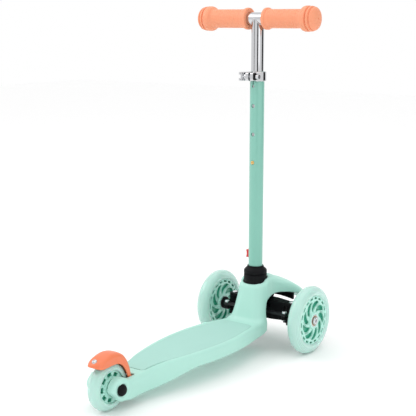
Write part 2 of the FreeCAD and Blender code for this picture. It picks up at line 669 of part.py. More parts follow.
def knuckle(side, sign):
    """A steering knuckle: a barrel on the kingpin, a stub for the wheel and an arm for the tie rod."""
    turn = Rotation(Vector(0, 0, 1), 0 if sign > 0 else 180)
    barrel = shifted(rod("barrel", "Z", 9, "53.4", "78.4"), x="kingpin_x")
    stub = turned(f"stub_{side}", "X", [
        ("kingpin_x", 0), ("kingpin_x", 6.4), (71.8, 6.4), (72.6, 8.2), (78, 8.2), (82, 10.2), (83, 11), (84.8, 11),
        (84.8, 5.8), ("half_track - 12.05", 5.8), ("half_track - 12.05", 0)])
    place(stub, 0, "0 - front_axle_y", "front_wheel_r")
    # the arm always points to the rear, so its side is turned with the knuckle
    back = "tie_rod_y" if sign > 0 else "-tie_rod_y"
    low_y, high_y = ("5", back) if sign > 0 else (back, "-5")
    arm = block("arm", ("kingpin_x - 5.5", "kingpin_x + 5.5"), (low_y, high_y), ("58.5", "64.5"))
    eye = shifted(rod("arm_eye", "Z", 5.5, "58.5", "64.5"), x="kingpin_x", y=back)
    holes = [shifted(rod("kingpin_bore", "Z", "3 + running", "40", "90"), x="kingpin_x"),
             shifted(rod("tie_pin_hole", "Z", 2.5, "50", "70"), x="kingpin_x", y=back),
             shifted(rod("bolt_hole", "X", 3, "half_track - 31", "100"), z="front_wheel_r")]
    solid = cut(f"knuckle_cut_{side}", fuse(f"knuckle_solid_{side}", [barrel, stub, arm, eye]), holes)
    place(node(f"knuckle_{side}", solid), rotation=turn)
    tie_pin = turned(f"tie_pin_turn_{side}", "Z", [
        (57, 0), (57, 2.5), (70.6, 2.5), (70.6, 4.6), (73, 4.6), (74, 3.6), (74, 0)])
    place(node(f"tie_rod_pin_{side}", tie_pin), x=f"{sign} * kingpin_x", y="tie_rod_y")


def tie_rod():
    strip = block("tie_strip", ("-kingpin_x", "kingpin_x"), ("tie_rod_y - 4", "tie_rod_y + 4"), ("66", "70"))
    ends = [shifted(rod("tie_end", "Z", 6, "66", "70"), x=f"{sign} * kingpin_x", y="tie_rod_y") for sign in (1, -1)]
    middle = shifted(rod("tie_middle", "Z", 7.5, "66", "70"), y="column_y")
    holes = [shifted(rod("tie_eye", "Z", 3.2, "60", "75"), x=f"{sign} * kingpin_x", y="tie_rod_y") for sign in (1, -1)]
    holes.append(shifted(rod("tie_drive_hole", "Z", 4, "60", "75"), y="column_y"))
    place(node("tie_rod", cut("tie_cut", fuse("tie_solid", [strip, middle] + ends), holes)))


truck()
knuckle("left", 1)
knuckle("right", -1)
tie_rod()


# ---------------------------------------------------------------- column, clamp and handlebar

def column():
    at = {"y": "column_y"}
    tube = turned("tube", "Z", [
        ("tube_foot_z", "tube_bore_r"), ("tube_foot_z", "tube_r"), ("tube_top_z - 0.6", "tube_r"),
        ("tube_top_z", "tube_r - 0.5"), ("tube_top_z", "tube_bore_r")])
    openings = [shifted(rod("height_hole", "Y", "button_r + 0.1", "5", "16"), z=f"height_hole_z + {index} * height_step")
                for index in range(3)]
    openings.append(block("clamp_slot", ("-1", "1"), ("5", "16"), ("466.6", "500")))
    openings.append(shifted(rod("slot_relief", "Y", 2.4, "5", "16"), z="466.6"))
    openings.append(block("release_hole", ("5", "16"), ("-4.6", "4.6"), ("release_z - 7.3", "release_z + 7.3")))
    openings.append(shifted(rod("catch_hole", "X", 3.4, "5", "16"), z="102"))
    place(node("outer_tube", cut("tube_cut", tube, openings)), **at)

    # the red button and the leaf spring with its catch, inside the tube's foot
    button = block("release_block", ("9.8", "tube_r + 6"), ("-4.4", "4.4"), ("release_z - 6.9", "release_z + 6.9"))
    dish = shifted(rod("thumb_dish", "Y", 16, "-6", "6"), x="tube_r + 6 + 14.2", z="release_z")
    place(node("release_button", cut("release_cut", button, [dish])), **at)
    leaf = block("release_leaf", ("7.6", "8.8"), ("-4", "4"), ("95", "release_z + 6"))
    catch = shifted(rod("release_catch", "X", 3.2, "7.6", "16.4"), z="102")
    place(node("release_catch_spring", fuse("release_spring", [leaf, catch])), **at)


def clamp():
    at = {"y": "column_y"}
    band = rod("clamp_band", "Z", "tube_r + 3.2", "clamp_z - 8.3", "clamp_z + 8.3")
    ears = block("clamp_ears", ("-8", "8"), ("10", "clamp_y + 6.5"), ("clamp_z - 7.5", "clamp_z + 7.5"))
    openings = [rod("clamp_bore", "Z", "tube_r + 0.02", "460", "500"),
                block("clamp_gap", ("-1.5", "1.5"), ("9", "40"), ("460", "500")),
                shifted(rod("clamp_bolt_hole", "X", 2.6, "-20", "20"), y="clamp_y", z="clamp_z")]
    place(node("clamp_collar", cut("clamp_cut", fuse("clamp_solid", [band, ears]), openings)), **at)

    line = {"y": "column_y + clamp_y", "z": "clamp_z"}
    bolt = turned("clamp_bolt_turn", "X", [
        (-15.6, 0), (-15.6, 1.6), (-17, 1.6), (-17, 3.4), (-11, 3.8), (-11, 2.5), (19, 2.5), (19, 0)])
    place(node("clamp_bolt", bolt), **line)
    washer = turned("clamp_washer_turn", "X", [(-11, 2.6), (-11, 4.8), (-9.4, 5.3), (-8.05, 5.3), (-8.05, 2.6)])
    place(node("clamp_washer", washer), **line)
    saddle = turned("cam_saddle_turn", "X", [(8.05, 2.6), (8.05, 5.2), (11, 5.2), (11, 2.6)])
    place(node("cam_saddle", saddle), **line)
    lever_pin = rod("lever_pin_rod", "Z", 2.9, "-7.6", "7.6")
    place(node("lever_pin", cut("lever_pin_cut", lever_pin, [rod("pin_thread", "X", 2.5, "-5", "5")])),
          x="18.4", y="column_y + clamp_y", z="clamp_z")

    # two lobes on the pin and a blade that curves forwards round the collar
    reach = [polar(20.5, 40), (*polar(20.9, 15), *polar(20.5, -12)), (*polar(22, -36), *polar(25.5, -52)),
             polar(28, -50), (*polar(25.6, -34), *polar(24.4, -12)), (*polar(25, 15), *polar(25.8, 38))]
    blade = pad("lever_blade", "XY", "-7", "7", reach)
    lobes = shifted(rod("lever_lobes", "Z", 6, "-7.5", "7.5"), x="18.4", y="clamp_y")
    gaps = [shifted(rod("lever_bore", "Z", 2.95, "-10", "10"), x="18.4", y="clamp_y"),
            block("lever_slot", ("8", "19.2"), ("clamp_y - 9", "clamp_y + 9"), ("-2.9", "2.9")),
            block("lever_slot_outer", ("18", "26"), ("clamp_y - 2.9", "clamp_y + 9"), ("-2.9", "2.9"))]
    place(node("clamp_lever", cut("lever_cut", fuse("lever_solid", [blade, lobes]), gaps)), y="column_y", z="clamp_z")


def handlebar():
    at = {"y": "column_y"}
    stem = rod("stem_rod", "Z", "stem_r", "stem_foot_z", "bar_z")
    bar = shifted(rod("bar_rod", "X", "stem_r", "-bar_half", "bar_half"), z="bar_z")
    hollows = [rod("stem_bore", "Z", "stem_bore_r", "stem_foot_z - 5", "bar_z - 12"),
               shifted(rod("bar_bore", "X", "stem_bore_r", "-bar_half - 5", "bar_half + 5"), z="bar_z"),
               shifted(rod("snap_hole", "Y", "button_r + 0.1", "5", "16"), z="height_hole_z")]
    place(node("stem_and_crossbar", cut("t_bar_cut", fuse("t_bar_solid", [stem, bar]), hollows)), **at)

    snap = turned("snap_turn", "Y", [
        (7.4, 0), (7.4, 4.6), (8.2, 4.6), (8.2, "button_r"), (12.6, "button_r"), (14.1, 2.6, 14.6, 0)])
    place(node("snap_button", snap), y="column_y", z="height_hole_z")
    leaf = pad("snap_leaf", "YZ", "-3", "3", [
        (7.35, 6), (7.35, -22), (-0.6, -30, -8.6, -22), (-8.6, 2), (-7.9, 2), (-7.9, -22), (-0.6, -29.2, 6.65, -22),
        (6.65, 6)])
    place(node("snap_spring", leaf), y="column_y", z="height_hole_z")

    for side, sign in (("left", 1), ("right", -1)):
        turn = Rotation(Vector(0, 0, 1), 0 if sign > 0 else 180)
        grip = turned(f"grip_turn_{side}", "X", [
            (16.8, "stem_r"), (16.8, 17), (18, 18.2), (22.6, 18.2), (23.6, 16.8), (31.6, 16.8), (32.6, 15.9),
            (84, 15.9), (88.5, 17.2, 92, 20), (96, 21.4), (103.5, 21.35), (104.6, 19), (105.8, 19),
            (106.8, 20.9), (109.6, 20.5), (110.7, 18.2), (111.8, 18.2), (112.8, 19.3), (115.4, 18),
            (118, 14.6), (119.6, 9.8), ("grip_tip_x", 4.5), ("grip_tip_x", 0), ("bar_half + 0.3", 0),
            ("bar_half + 0.3", "stem_r")])
        place(node(f"grip_{side}", grip), y="column_y", z="bar_z", rotation=turn)
    plugs = []
    for sign in (1, -1):
        path = [("bar_half", 0), ("bar_half", 9.4), ("bar_half - 12", 9.4), ("bar_half - 12", 8), ("bar_half - 2", 8),
                ("bar_half - 2", 0)]
        plugs.append(turned("bar_plug", "X", [(f"{sign} * ({along})", radius) for along, radius in path]))
    place(node("bar_end_plugs", group("bar_plug_group", plugs)), y="column_y", z="bar_z")


column()
clamp()
handlebar()


# ---------------------------------------------------------------- rear brake

def fender_outline(inset):
    """The fender from above: straight sides and a round tip."""
    radius = f"fender_half - {inset}"
    return mirrored([
        (radius, 350), (radius, "fender_tip_y - fender_half"),
        (f"({radius}) * 0.7071", f"fender_tip_y - fender_half + ({radius}) * 0.7071",
         f"({radius}) * 0.2817", f"fender_tip_y - fender_half + ({radius}) * 0.9595")])


def brake():
    # seen from the side: up from the foot, over the wheel to the tip, and back under the side walls
    top = [ring_point(43.4, 168), (*ring_point(45.6, 148), *ring_point(49.6, 128)),
           (*ring_point(52.9, 105), *ring_point(52.6, 80)), (*ring_point(52.5, 66), *ring_point(54.4, 49.5))]
    under = [("fender_tip_y - 1.5", 75.6), (437, 72, 421, 73.4), (407, 73.6, 398.4, 69.1), (391.5, 61.5, 385, 48.7)]
    foot = [(383, 43), (378.5, 36), ("brake_pivot_y", "brake_pivot_z - 6.5"), ("brake_pivot_y - 6", "brake_pivot_z"),
            ("brake_pivot_y - 4.5", "brake_pivot_z + 2"), ("brake_pivot_y + 1", "brake_pivot_z + 2.5")]
    outer = common("fender_outer", [
        pad("fender_side", "YZ", "-fender_half", "fender_half", top + under + foot),
        pad("fender_plan", "XY", "10", "120", fender_outline(0))])
    room = common("fender_room", [
        pad("fender_room_side", "YZ", "-fender_half", "fender_half", [
            (376.4, 28), (376.4, 46), (*ring_point(43.4, 148), *ring_point(47.3, 128)),
            (*ring_point(50.6, 105), *ring_point(50.3, 80)), (*ring_point(50.2, 66), *ring_point(52.1, 49.5)),
            ("fender_tip_y + 5", 60), (420, 15)]),
        pad("fender_room_plan", "XY", "10", "120", fender_outline("fender_wall"))])
    tools = [room, shifted(rod("fender_pin_hole", "X", 3.05, "-20", "20"), y="brake_pivot_y", z="brake_pivot_z"),
             block("fender_spring_room", ("-7", "7"), ("355", "376.4"), ("30", "46.4"))]
    # the rivet stands square to the fender's top, in a shallow seat
    lean = Rotation(Vector(1, 0, 0), -30.6)
    holes = [turned("rivet_hole", "Z", [(44, 0), (44, 2.05), (52.8, 2.05), (52.8, 4.3), (60, 4.3), (60, 0)]),
             turned("plate_hole", "Z", [(44, 0), (44, 2.05), (60, 2.05), (60, 0)])]
    for hole in holes:
        hole.Placement = Placement(Vector(), lean)
        shifted(hole, y="wheel_base", z="rear_wheel_r")
    place(node("brake_fender", cut("fender_cut", outer, tools + [holes[0]])))
    plate = pad("wear_plate_pad", "YZ", "-7", "7", [
        ring_point(49.9, 96), (*ring_point(49.85, 75), *ring_point(50.3, 54)), ring_point(48.5, 54),
        (*ring_point(48.05, 75), *ring_point(48.1, 96))])
    place(node("brake_wear_plate", cut("wear_plate_cut", plate, [holes[1]])))
    # its head stands on the fender and its foot is spread under the plate
    rivet = turned("rivet_turn", "Z", [
        (47.4, 0), (47.4, 3), (48, 3), (48, 2), (52.85, 2), (52.85, 4.2), (53.7, 3.8), (54.4, 2.4), (54.4, 1.6),
        (53.6, 1.4), (53.6, 0)])
    place(node("brake_rivet", rivet), y="wheel_base", z="rear_wheel_r", rotation=lean)
    pivot = turned("brake_pin_turn", "X", [(-21.5, 0), (-21.5, 3), (21.5, 3), (21.5, 0)])
    place(node("brake_pivot_pin", pivot), y="brake_pivot_y", z="brake_pivot_z")
    spring = coil("brake_coil", "X", 3.95, 0.7, 2.1, 5)
    spring.Placement = Placement(Vector(-5.2, size("front_axle_y + brake_pivot_y"), size("brake_pivot_z")), Rotation())
    node("brake_spring", spring)


brake()


# ---------------------------------------------------------------- check and write

doc.recompute()
failed = [f"{item.Name} {item.State}" for item in doc.Objects if "Invalid" in item.State or "Error" in item.State]
if failed:
    raise RuntimeError("failed: " + "; ".join(failed))
os.makedirs("parts", exist_ok=True)
for name, item in NODES.items():
    shape = item.Shape
    if shape.isNull() or not shape.isValid() or not shape.Solids:
        raise RuntimeError(f"{name} has no valid solid")
    shape.exportStep(f"parts/{name}.step")
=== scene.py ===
import math

import bmesh
import bpy
import numpy as np
from mathutils import Matrix, Vector


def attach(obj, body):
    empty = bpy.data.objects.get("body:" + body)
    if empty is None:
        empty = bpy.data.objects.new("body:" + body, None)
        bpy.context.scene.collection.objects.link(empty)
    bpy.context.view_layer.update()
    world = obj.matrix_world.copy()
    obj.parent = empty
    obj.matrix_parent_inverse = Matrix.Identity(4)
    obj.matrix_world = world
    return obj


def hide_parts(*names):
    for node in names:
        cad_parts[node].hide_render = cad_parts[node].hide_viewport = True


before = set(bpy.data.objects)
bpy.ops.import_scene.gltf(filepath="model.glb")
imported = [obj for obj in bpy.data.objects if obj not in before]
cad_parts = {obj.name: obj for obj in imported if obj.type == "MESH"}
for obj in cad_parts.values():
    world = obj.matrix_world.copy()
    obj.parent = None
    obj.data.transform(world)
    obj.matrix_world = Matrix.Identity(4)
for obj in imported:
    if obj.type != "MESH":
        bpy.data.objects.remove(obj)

# Lengths in the helpers are millimetres, and y counts from the front axle, which is AXLE_Y in the frame.
AXLE_Y = -183
COLUMN_Y = 24.5
REAR_Y = 416
HALF_TRACK = 98.2
BAR_Z = 581
CLAMP_Z = 483.5
FRONT_Z = 60
REAR_Z = 38
TUBE_RADIUS = 12.5
STEM_RADIUS = 11
LOW_HOLE_Z = 334.3
HOLE_STEP = 49.3
SLOT_FOOT_Z = 466.6
BUTTON_Z = 169
WALL = 4.2
MAT_FRONT = 76
MAT_END = 357
BRAKE_PIN_Y, BRAKE_PIN_Z = 371, 41
FENDER_HALF = 14.2
FENDER_TIP_Y = 437.3
# a point on the rivet's line, and the line's direction in y and z
RIVET_Y, RIVET_Z = 443.1, 83.7
RIVET_ALONG_Y, RIVET_ALONG_Z = 0.509, 0.861

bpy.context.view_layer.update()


# ---------------------------------------------------------------- shapes by distance

def smax(a, b, k):
    """The larger, with a rounded corner about k wide."""
    h = np.maximum(k - np.abs(a - b), 0) / k
    return np.maximum(a, b) + h * h * k * 0.25


def smin(a, b, k):
    return -smax(-a, -b, k)


def cut(a, b, k=0.8):
    """a without b."""
    return smax(a, -b, k)


def flow(v, knots):
    """A smooth curve through (place, value) knots that doesn't overshoot them."""
    xs, ys = np.array(knots, float).T
    steps = np.diff(ys) / np.diff(xs)
    slopes = np.concatenate([[steps[0]], np.where(steps[1:] * steps[:-1] > 0,
                             2 * steps[1:] * steps[:-1] / (steps[1:] + steps[:-1] + 1e-12), 0), [steps[-1]]])
    v = np.clip(np.asarray(v, float), xs[0], xs[-1])
    i = np.clip(np.searchsorted(xs, v, side="right") - 1, 0, len(xs) - 2)
    span = xs[i + 1] - xs[i]
    t = (v - xs[i]) / span
    return ((2 * t**3 - 3 * t**2 + 1) * ys[i] + (t**3 - 2 * t**2 + t) * span * slopes[i]
            + (3 * t**2 - 2 * t**3) * ys[i + 1] + (t**3 - t**2) * span * slopes[i + 1])


def polygon(u, v, points):
    """Distance to a closed outline, negative inside."""
    points = np.array(points, float)
    best, sign = None, 1.0
    for (ax, ay), (bx, by) in zip(points, np.roll(points, -1, axis=0)):
        ex, ey = bx - ax, by - ay
        wx, wy = u - ax, v - ay
        t = np.clip((wx * ex + wy * ey) / (ex * ex + ey * ey), 0, 1)
        gap = (wx - ex * t) ** 2 + (wy - ey * t) ** 2
        best = gap if best is None else np.minimum(best, gap)
        side = ex * wy - ey * wx
        above, below, left = v >= ay, v < by, side > 0
        flip = (above & below & left) | (~above & ~below & ~left)
        sign = np.where(flip, -sign, sign)
    return sign * np.sqrt(best)


def round_box(u, v, half_u, half_v, radius):
    a, b = np.abs(u) - half_u + radius, np.abs(v) - half_v + radius
    return np.minimum(np.maximum(a, b), 0) + np.hypot(np.maximum(a, 0), np.maximum(b, 0)) - radius


def slab(v, low, high):
    return np.abs(v - (low + high) / 2) - (high - low) / 2


def surface_net(field, low, high, cell, settle=3):
    """Vertices, normals and quads of the surface where the field is nothing."""
    axes = [np.arange(a, b + cell, cell) for a, b in zip(low, high)]
    grid = field(axes[0][:, None, None], axes[1][None, :, None], axes[2][None, None, :])
    grid = np.broadcast_to(grid, tuple(len(a) for a in axes)).astype(np.float32)
    nx, ny, nz = grid.shape
    inside = grid < 0
    total = np.zeros((nx - 1, ny - 1, nz - 1, 3), np.float32)
    count = np.zeros((nx - 1, ny - 1, nz - 1), np.float32)
    for axis in range(3):
        for p in (0, 1):
            for q in (0, 1):
                start = [0, 0, 0]
                others = [a for a in range(3) if a != axis]
                start[others[0]], start[others[1]] = p, q
                s0 = tuple(slice(s, s + n - 1) for s, n in zip(start, grid.shape))
                start[axis] = 1
                s1 = tuple(slice(s, s + n - 1) for s, n in zip(start, grid.shape))
                f0, f1 = grid[s0], grid[s1]
                hit = inside[s0] != inside[s1]
                t = np.where(hit, f0 / np.where(hit, f0 - f1, 1), 0)
                count += hit
                total[..., axis] += t
                total[..., others[0]] += hit * p
                total[..., others[1]] += hit * q
    used = count > 0
    index = -np.ones(used.shape, np.int64)
    index[used] = np.arange(used.sum())
    at = np.argwhere(used)
    verts = (at + total[used] / count[used][:, None]) * cell + np.array([a[0] for a in axes])
    faces = []
    for axis in range(3):
        a, b = [(1, 2), (2, 0), (0, 1)][axis]
        s0, s1 = [slice(None)] * 3, [slice(None)] * 3
        s0[axis], s1[axis] = slice(0, -1), slice(1, None)
        for s in (s0, s1):
            s[a], s[b] = slice(1, -1), slice(1, -1)
        f0, f1 = inside[tuple(s0)], inside[tuple(s1)]
        where = np.argwhere(f0 != f1)
        out = f0[tuple(where.T)]
        corner = where.copy()
        corner[:, a] += 1
        corner[:, b] += 1
        ring = []
        for da, db in ((-1, -1), (0, -1), (0, 0), (-1, 0)):
            c = corner.copy()
            c[:, a] += da
            c[:, b] += db
            ring.append(index[tuple(c.T)])
        ring = np.stack(ring, 1)
        ring[~out] = ring[~out][:, ::-1]
        faces.append(ring)
    faces = np.concatenate(faces)

    def slope(p, h=0.04):
        return np.stack([field(*(p + np.eye(3)[i] * h).T) - field(*(p - np.eye(3)[i] * h).T)
                         for i in range(3)], 1) / (2 * h)
    for _ in range(settle):
        g = slope(verts)
        size = np.maximum((g * g).sum(1), 0.05)
        move = -(field(*verts.T) / size)[:, None] * g
        reach = np.linalg.norm(move, axis=1)[:, None]
        verts = verts + move * np.minimum(1, 0.6 * cell / np.maximum(reach, 1e-9))
    normals = slope(verts)
    normals /= np.maximum(np.linalg.norm(normals, axis=1), 1e-9)[:, None]
    return verts, normals, faces


# ---------------------------------------------------------------- objects

def placed(verts, at=(0, 0, 0), turn=0):
    """Millimetres round a place to metres in the frame."""
    verts = np.asarray(verts, float)
    if turn:
        verts = verts @ np.array(Matrix.Rotation(math.radians(turn), 3, "Z")).T
    return (verts + np.array([at[0], at[1] + AXLE_Y, at[2]])) * 0.001


def mesh_object(name, verts, faces, material, body, normals=None):
    mesh = bpy.data.meshes.new(name)
    mesh.from_pydata(np.asarray(verts).tolist(), [], [list(map(int, f)) for f in faces])
    mesh.validate()
    mesh.polygons.foreach_set("use_smooth", [True] * len(mesh.polygons))
    if normals is not None:
        mesh.normals_split_custom_set_from_vertices(np.asarray(normals).tolist())
    mesh.materials.append(material)
    item = bpy.data.objects.new(name, mesh)
    bpy.context.scene.collection.objects.link(item)
    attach(item, body)
    return item


def sculpt(name, field, low, high, cell, material, body, at=(0, 0, 0), turn=0, shade=None):
    """A solid drawn by its distance field. shade gives each vertex a number from 0 to 1 that blends in its
    material's painted shade colour.
    """
    verts, normals, faces = surface_net(field, low, high, cell)
    amount = shade(*verts.T) if shade else None
    if turn:
        normals = normals @ np.array(Matrix.Rotation(math.radians(turn), 3, "Z")).T
    item = mesh_object(name, placed(verts, at, turn), faces, material, body, normals)
    if amount is not None:
        layer = item.data.color_attributes.new("shade", "FLOAT_COLOR", "POINT")
        colors = np.ones((len(amount), 4), np.float32)
        colors[:, :3] = np.clip(amount, 0, 1)[:, None]
        layer.data.foreach_set("color", colors.ravel())
    return item


def rounded(path, radius, steps=4):
    """The closed outline with its corners rounded, by up to the radius given or a third of the shorter side."""
    out, n = [], len(path)
    for i, here in enumerate(path):
        here, before, after = (np.array(path[j % n][:2], float) for j in (i, i - 1, i + 1))
        own = path[i][2] if len(path[i]) > 2 else radius
        a, b = before - here, after - here
        la, lb = np.linalg.norm(a), np.linalg.norm(b)
        reach = min(own, la * 0.34, lb * 0.34)
        if reach < 0.02:
            out.append(tuple(here))
            continue
        p, q = here + a / la * reach, here + b / lb * reach
        for t in np.linspace(0, 1, steps + 1):
            out.append(tuple((1 - t) ** 2 * p + 2 * t * (1 - t) * here + t * t * q))
    return out


def lathe(name, path, axis, at, material, body, radius=0.5, turn=0, around=96, sharp=35):
    """An outline of (along, radius) points turned round an axis."""
    path = rounded(path, radius)
    angles = np.linspace(0, 2 * math.pi, around, endpoint=False)
    verts = []
    for along, r in path:
        ring = np.stack([np.full(around, along), r * np.cos(angles), r * np.sin(angles)], 1)
        verts.append(ring)
    verts = np.concatenate(verts)
    order = {"X": [0, 1, 2], "Y": [2, 0, 1], "Z": [1, 2, 0]}[axis]
    verts = verts[:, order]
    n = len(path)
    faces = []
    for i in range(n):
        j = (i + 1) % n
        for k in range(around):
            m = (k + 1) % around
            faces.append((i * around + k, j * around + k, j * around + m, i * around + m))
    item = mesh_object(name, placed(verts, at, turn), faces, material, body)
    tidy(item, sharp)
    return item


def tidy(item, sharp=35):
    """Merge points that meet, drop flat faces of no area and turn every face outwards."""
    work = bmesh.new()
    work.from_mesh(item.data)
    bmesh.ops.remove_doubles(work, verts=work.verts, dist=2e-6)
    bmesh.ops.dissolve_degenerate(work, edges=work.edges, dist=1e-7)
    bmesh.ops.recalc_face_normals(work, faces=work.faces)
    work.to_mesh(item.data)
    work.free()
    item.data.polygons.foreach_set("use_smooth", [True] * len(item.data.polygons))
    item.data.set_sharp_from_angle(angle=math.radians(sharp))


def block(name, x, y, z, material, body, at):
    """A plain box to cut with."""
    ring = [(x[0], y[0]), (x[1], y[0]), (x[1], y[1]), (x[0], y[1])]
    verts = [(u, v, level) for level in z for u, v in ring]
    faces = [tuple(range(4)), tuple(range(7, 3, -1))]
    faces += [(i, (i + 1) % 4, (i + 1) % 4 + 4, i + 4) for i in range(4)]
    item = mesh_object(name, placed(verts, at), faces, material, body)
    tidy(item)
    return item


def soften(item, edge, segments):
    bevel = item.modifiers.new("soft edge", "BEVEL")
    bevel.width = edge * 0.001
    bevel.segments = segments
    bevel.limit_method = "ANGLE"
    bevel.angle_limit = math.radians(30)
    bevel.harden_normals = True


def carve(item, tools):
    """Cut tools out of an item and drop them."""
    for tool in tools:
        change = item.modifiers.new("carve", "BOOLEAN")
        change.operation = "DIFFERENCE"
        change.solver = "EXACT"
        change.object = tool
        evaluated = item.evaluated_get(bpy.context.evaluated_depsgraph_get())
        mesh = bpy.data.meshes.new_from_object(evaluated)
        item.modifiers.clear()
        item.data = mesh
        bpy.data.objects.remove(tool)
    tidy(item)


def bead_along(name, points, radius, material, body, at):
    """A round bead through a closed loop of points."""
    points = [Vector(p) for p in placed(points, at)]
    curve = bpy.data.curves.new(name, "CURVE")
    curve.dimensions = "3D"
    curve.bevel_depth = radius * 0.001
    curve.bevel_resolution = 3
    line = curve.splines.new("POLY")
    line.points.add(len(points) - 1)
    for point, place in zip(line.points, points):
        point.co = (*place, 1)
    line.use_cyclic_u = True
    curve.materials.append(material)
    shape = bpy.data.objects.new(name, curve)
    bpy.context.scene.collection.objects.link(shape)
    mesh = bpy.data.meshes.new_from_object(shape.evaluated_get(bpy.context.evaluated_depsgraph_get()))
    bpy.data.objects.remove(shape)
    item = bpy.data.objects.new(name, mesh)
    bpy.context.scene.collection.objects.link(item)
    mesh.polygons.foreach_set("use_smooth", [True] * len(mesh.polygons))
    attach(item, body)
    return item


# ---------------------------------------------------------------- materials

def material(name, color, rough=0.45, metal=0.0, vary=0.05, vary_scale=18.0, grain=0.04, grain_scale=900.0,
             coat=0.0, through=0.0, inner=0.0, painted_shade_color=None, rough_vary=0.08, depth=0.00004, shine=0.5):
    """A surface whose colour, polish and fine relief all vary a little from place to place."""
    item = bpy.data.materials.new(name)
    item.use_nodes = True
    nodes, links = item.node_tree.nodes, item.node_tree.links
    shader = nodes["Principled BSDF"]
    shader.inputs["Metallic"].default_value = metal
    shader.inputs["Coat Weight"].default_value = coat
    shader.inputs["Specular IOR Level"].default_value = shine
    shader.inputs["Coat Roughness"].default_value = 0.15
    shader.inputs["Transmission Weight"].default_value = through
    shader.inputs["Subsurface Weight"].default_value = inner
    shader.inputs["Subsurface Radius"].default_value = (0.006, 0.008, 0.007)
    shader.inputs["Subsurface Scale"].default_value = 0.6
    place = nodes.new("ShaderNodeTexCoord")

    broad = nodes.new("ShaderNodeTexNoise")
    broad.inputs["Scale"].default_value = vary_scale
    broad.inputs["Detail"].default_value = 4
    links.new(place.outputs["Object"], broad.inputs["Vector"])
    tint = nodes.new("ShaderNodeMix")
    tint.data_type = "RGBA"
    darker = [c * (1 - vary) for c in color]
    lighter = [min(1.0, c * (1 + vary)) for c in color]
    tint.inputs["A"].default_value = (*darker, 1)
    tint.inputs["B"].default_value = (*lighter, 1)
    links.new(broad.outputs["Fac"], tint.inputs["Factor"])
    colored = tint.outputs["Result"]
    # the vertex attribute shade blends in a darker colour: painted shade in recesses
    if painted_shade_color is not None:
        shade = nodes.new("ShaderNodeVertexColor")
        shade.layer_name = "shade"
        other = nodes.new("ShaderNodeMix")
        other.data_type = "RGBA"
        other.inputs["B"].default_value = (*painted_shade_color, 1)
        links.new(shade.outputs["Color"], other.inputs["Factor"])
        links.new(colored, other.inputs["A"])
        colored = other.outputs["Result"]
    links.new(colored, shader.inputs["Base Color"])

    wear = nodes.new("ShaderNodeTexNoise")
    wear.inputs["Scale"].default_value = vary_scale * 4
    wear.inputs["Detail"].default_value = 6
    links.new(place.outputs["Object"], wear.inputs["Vector"])
    polish = nodes.new("ShaderNodeMapRange")
    polish.inputs["To Min"].default_value = max(0.02, rough - rough_vary)
    polish.inputs["To Max"].default_value = min(1, rough + rough_vary)
    links.new(wear.outputs["Fac"], polish.inputs["Value"])
    links.new(polish.outputs["Result"], shader.inputs["Roughness"])

    fine = nodes.new("ShaderNodeTexNoise")
    fine.inputs["Scale"].default_value = grain_scale
    fine.inputs["Detail"].default_value = 3
    links.new(place.outputs["Object"], fine.inputs["Vector"])
    relief = nodes.new("ShaderNodeBump")
    relief.inputs["Strength"].default_value = min(1, grain * 4)
    relief.inputs["Distance"].default_value = depth
    links.new(fine.outputs["Fac"], relief.inputs["Height"])
    links.new(relief.outputs["Normal"], shader.inputs["Normal"])
    return item


DECK = material("deck mint", (0.41, 0.71, 0.62), 0.42, vary=0.03, grain=0.08, grain_scale=1400, inner=0.1)
MAT = material("mat mint", (0.365, 0.625, 0.555), 0.72, vary=0.03, grain=0.25, grain_scale=900, depth=0.0002)
TUBE = material("column paint", (0.215, 0.50, 0.41), 0.34, metal=0.1, vary=0.03, grain=0.03, coat=0.3)
BLACK = material("black moulding", (0.006, 0.006, 0.007), 0.5, vary=0.1, grain=0.08, grain_scale=1200,
                 shine=0.1)
BLACK_STEEL = material("black steel", (0.012, 0.012, 0.014), 0.4, vary=0.1, grain=0.05, shine=0.3)
STEEL = material("zinc steel", (0.62, 0.63, 0.65), 0.26, metal=1.0, vary=0.04, grain=0.04)
BEARING = material("bearing shield", (0.36, 0.28, 0.17), 0.35, metal=0.9, vary=0.08, grain=0.05)
CHROME = material("chrome", (0.60, 0.605, 0.62), 0.08, metal=1.0, vary=0.01, grain=0.01, rough_vary=0.02)
BRASS = material("brass", (0.72, 0.47, 0.18), 0.2, metal=1.0, vary=0.04, grain=0.02)
TYRE = material("cast tyre", (0.60, 0.89, 0.81), 0.16, vary=0.03, grain=0.03, inner=0.45, through=0.3,
                coat=0.4)
# the darker second colour is painted shade for the core's pockets, lines and dashes
CORE = material("wheel core", (0.42, 0.78, 0.67), 0.3, vary=0.04, grain=0.05, inner=0.1, coat=0.3,
                painted_shade_color=(0.045, 0.38, 0.25))
ORANGE = material("fender orange", (0.80, 0.20, 0.085), 0.36, vary=0.04, grain=0.05, inner=0.1)
GRIP = material("grip coral", (0.83, 0.315, 0.17), 0.5, vary=0.03, grain=0.16, grain_scale=1500, inner=0.15)
RED = material("release red", (0.62, 0.03, 0.03), 0.3, vary=0.05, grain=0.03)
LAMP = material("lamp", (0.75, 0.8, 0.78), 0.3, vary=0.05, grain=0.02, inner=0.3)


def paint(material_item, *nodes):
    """Give CAD nodes that stay in view their finish."""
    for name in nodes:
        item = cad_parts[name]
        item.data.materials.clear()
        item.data.materials.append(material_item)
        item.data.polygons.foreach_set("use_smooth", [True] * len(item.data.polygons))
        item.data.polygons.foreach_set("material_index", [0] * len(item.data.polygons))
        item.data.set_sharp_from_angle(angle=math.radians(30))


# ---------------------------------------------------------------- deck moulding

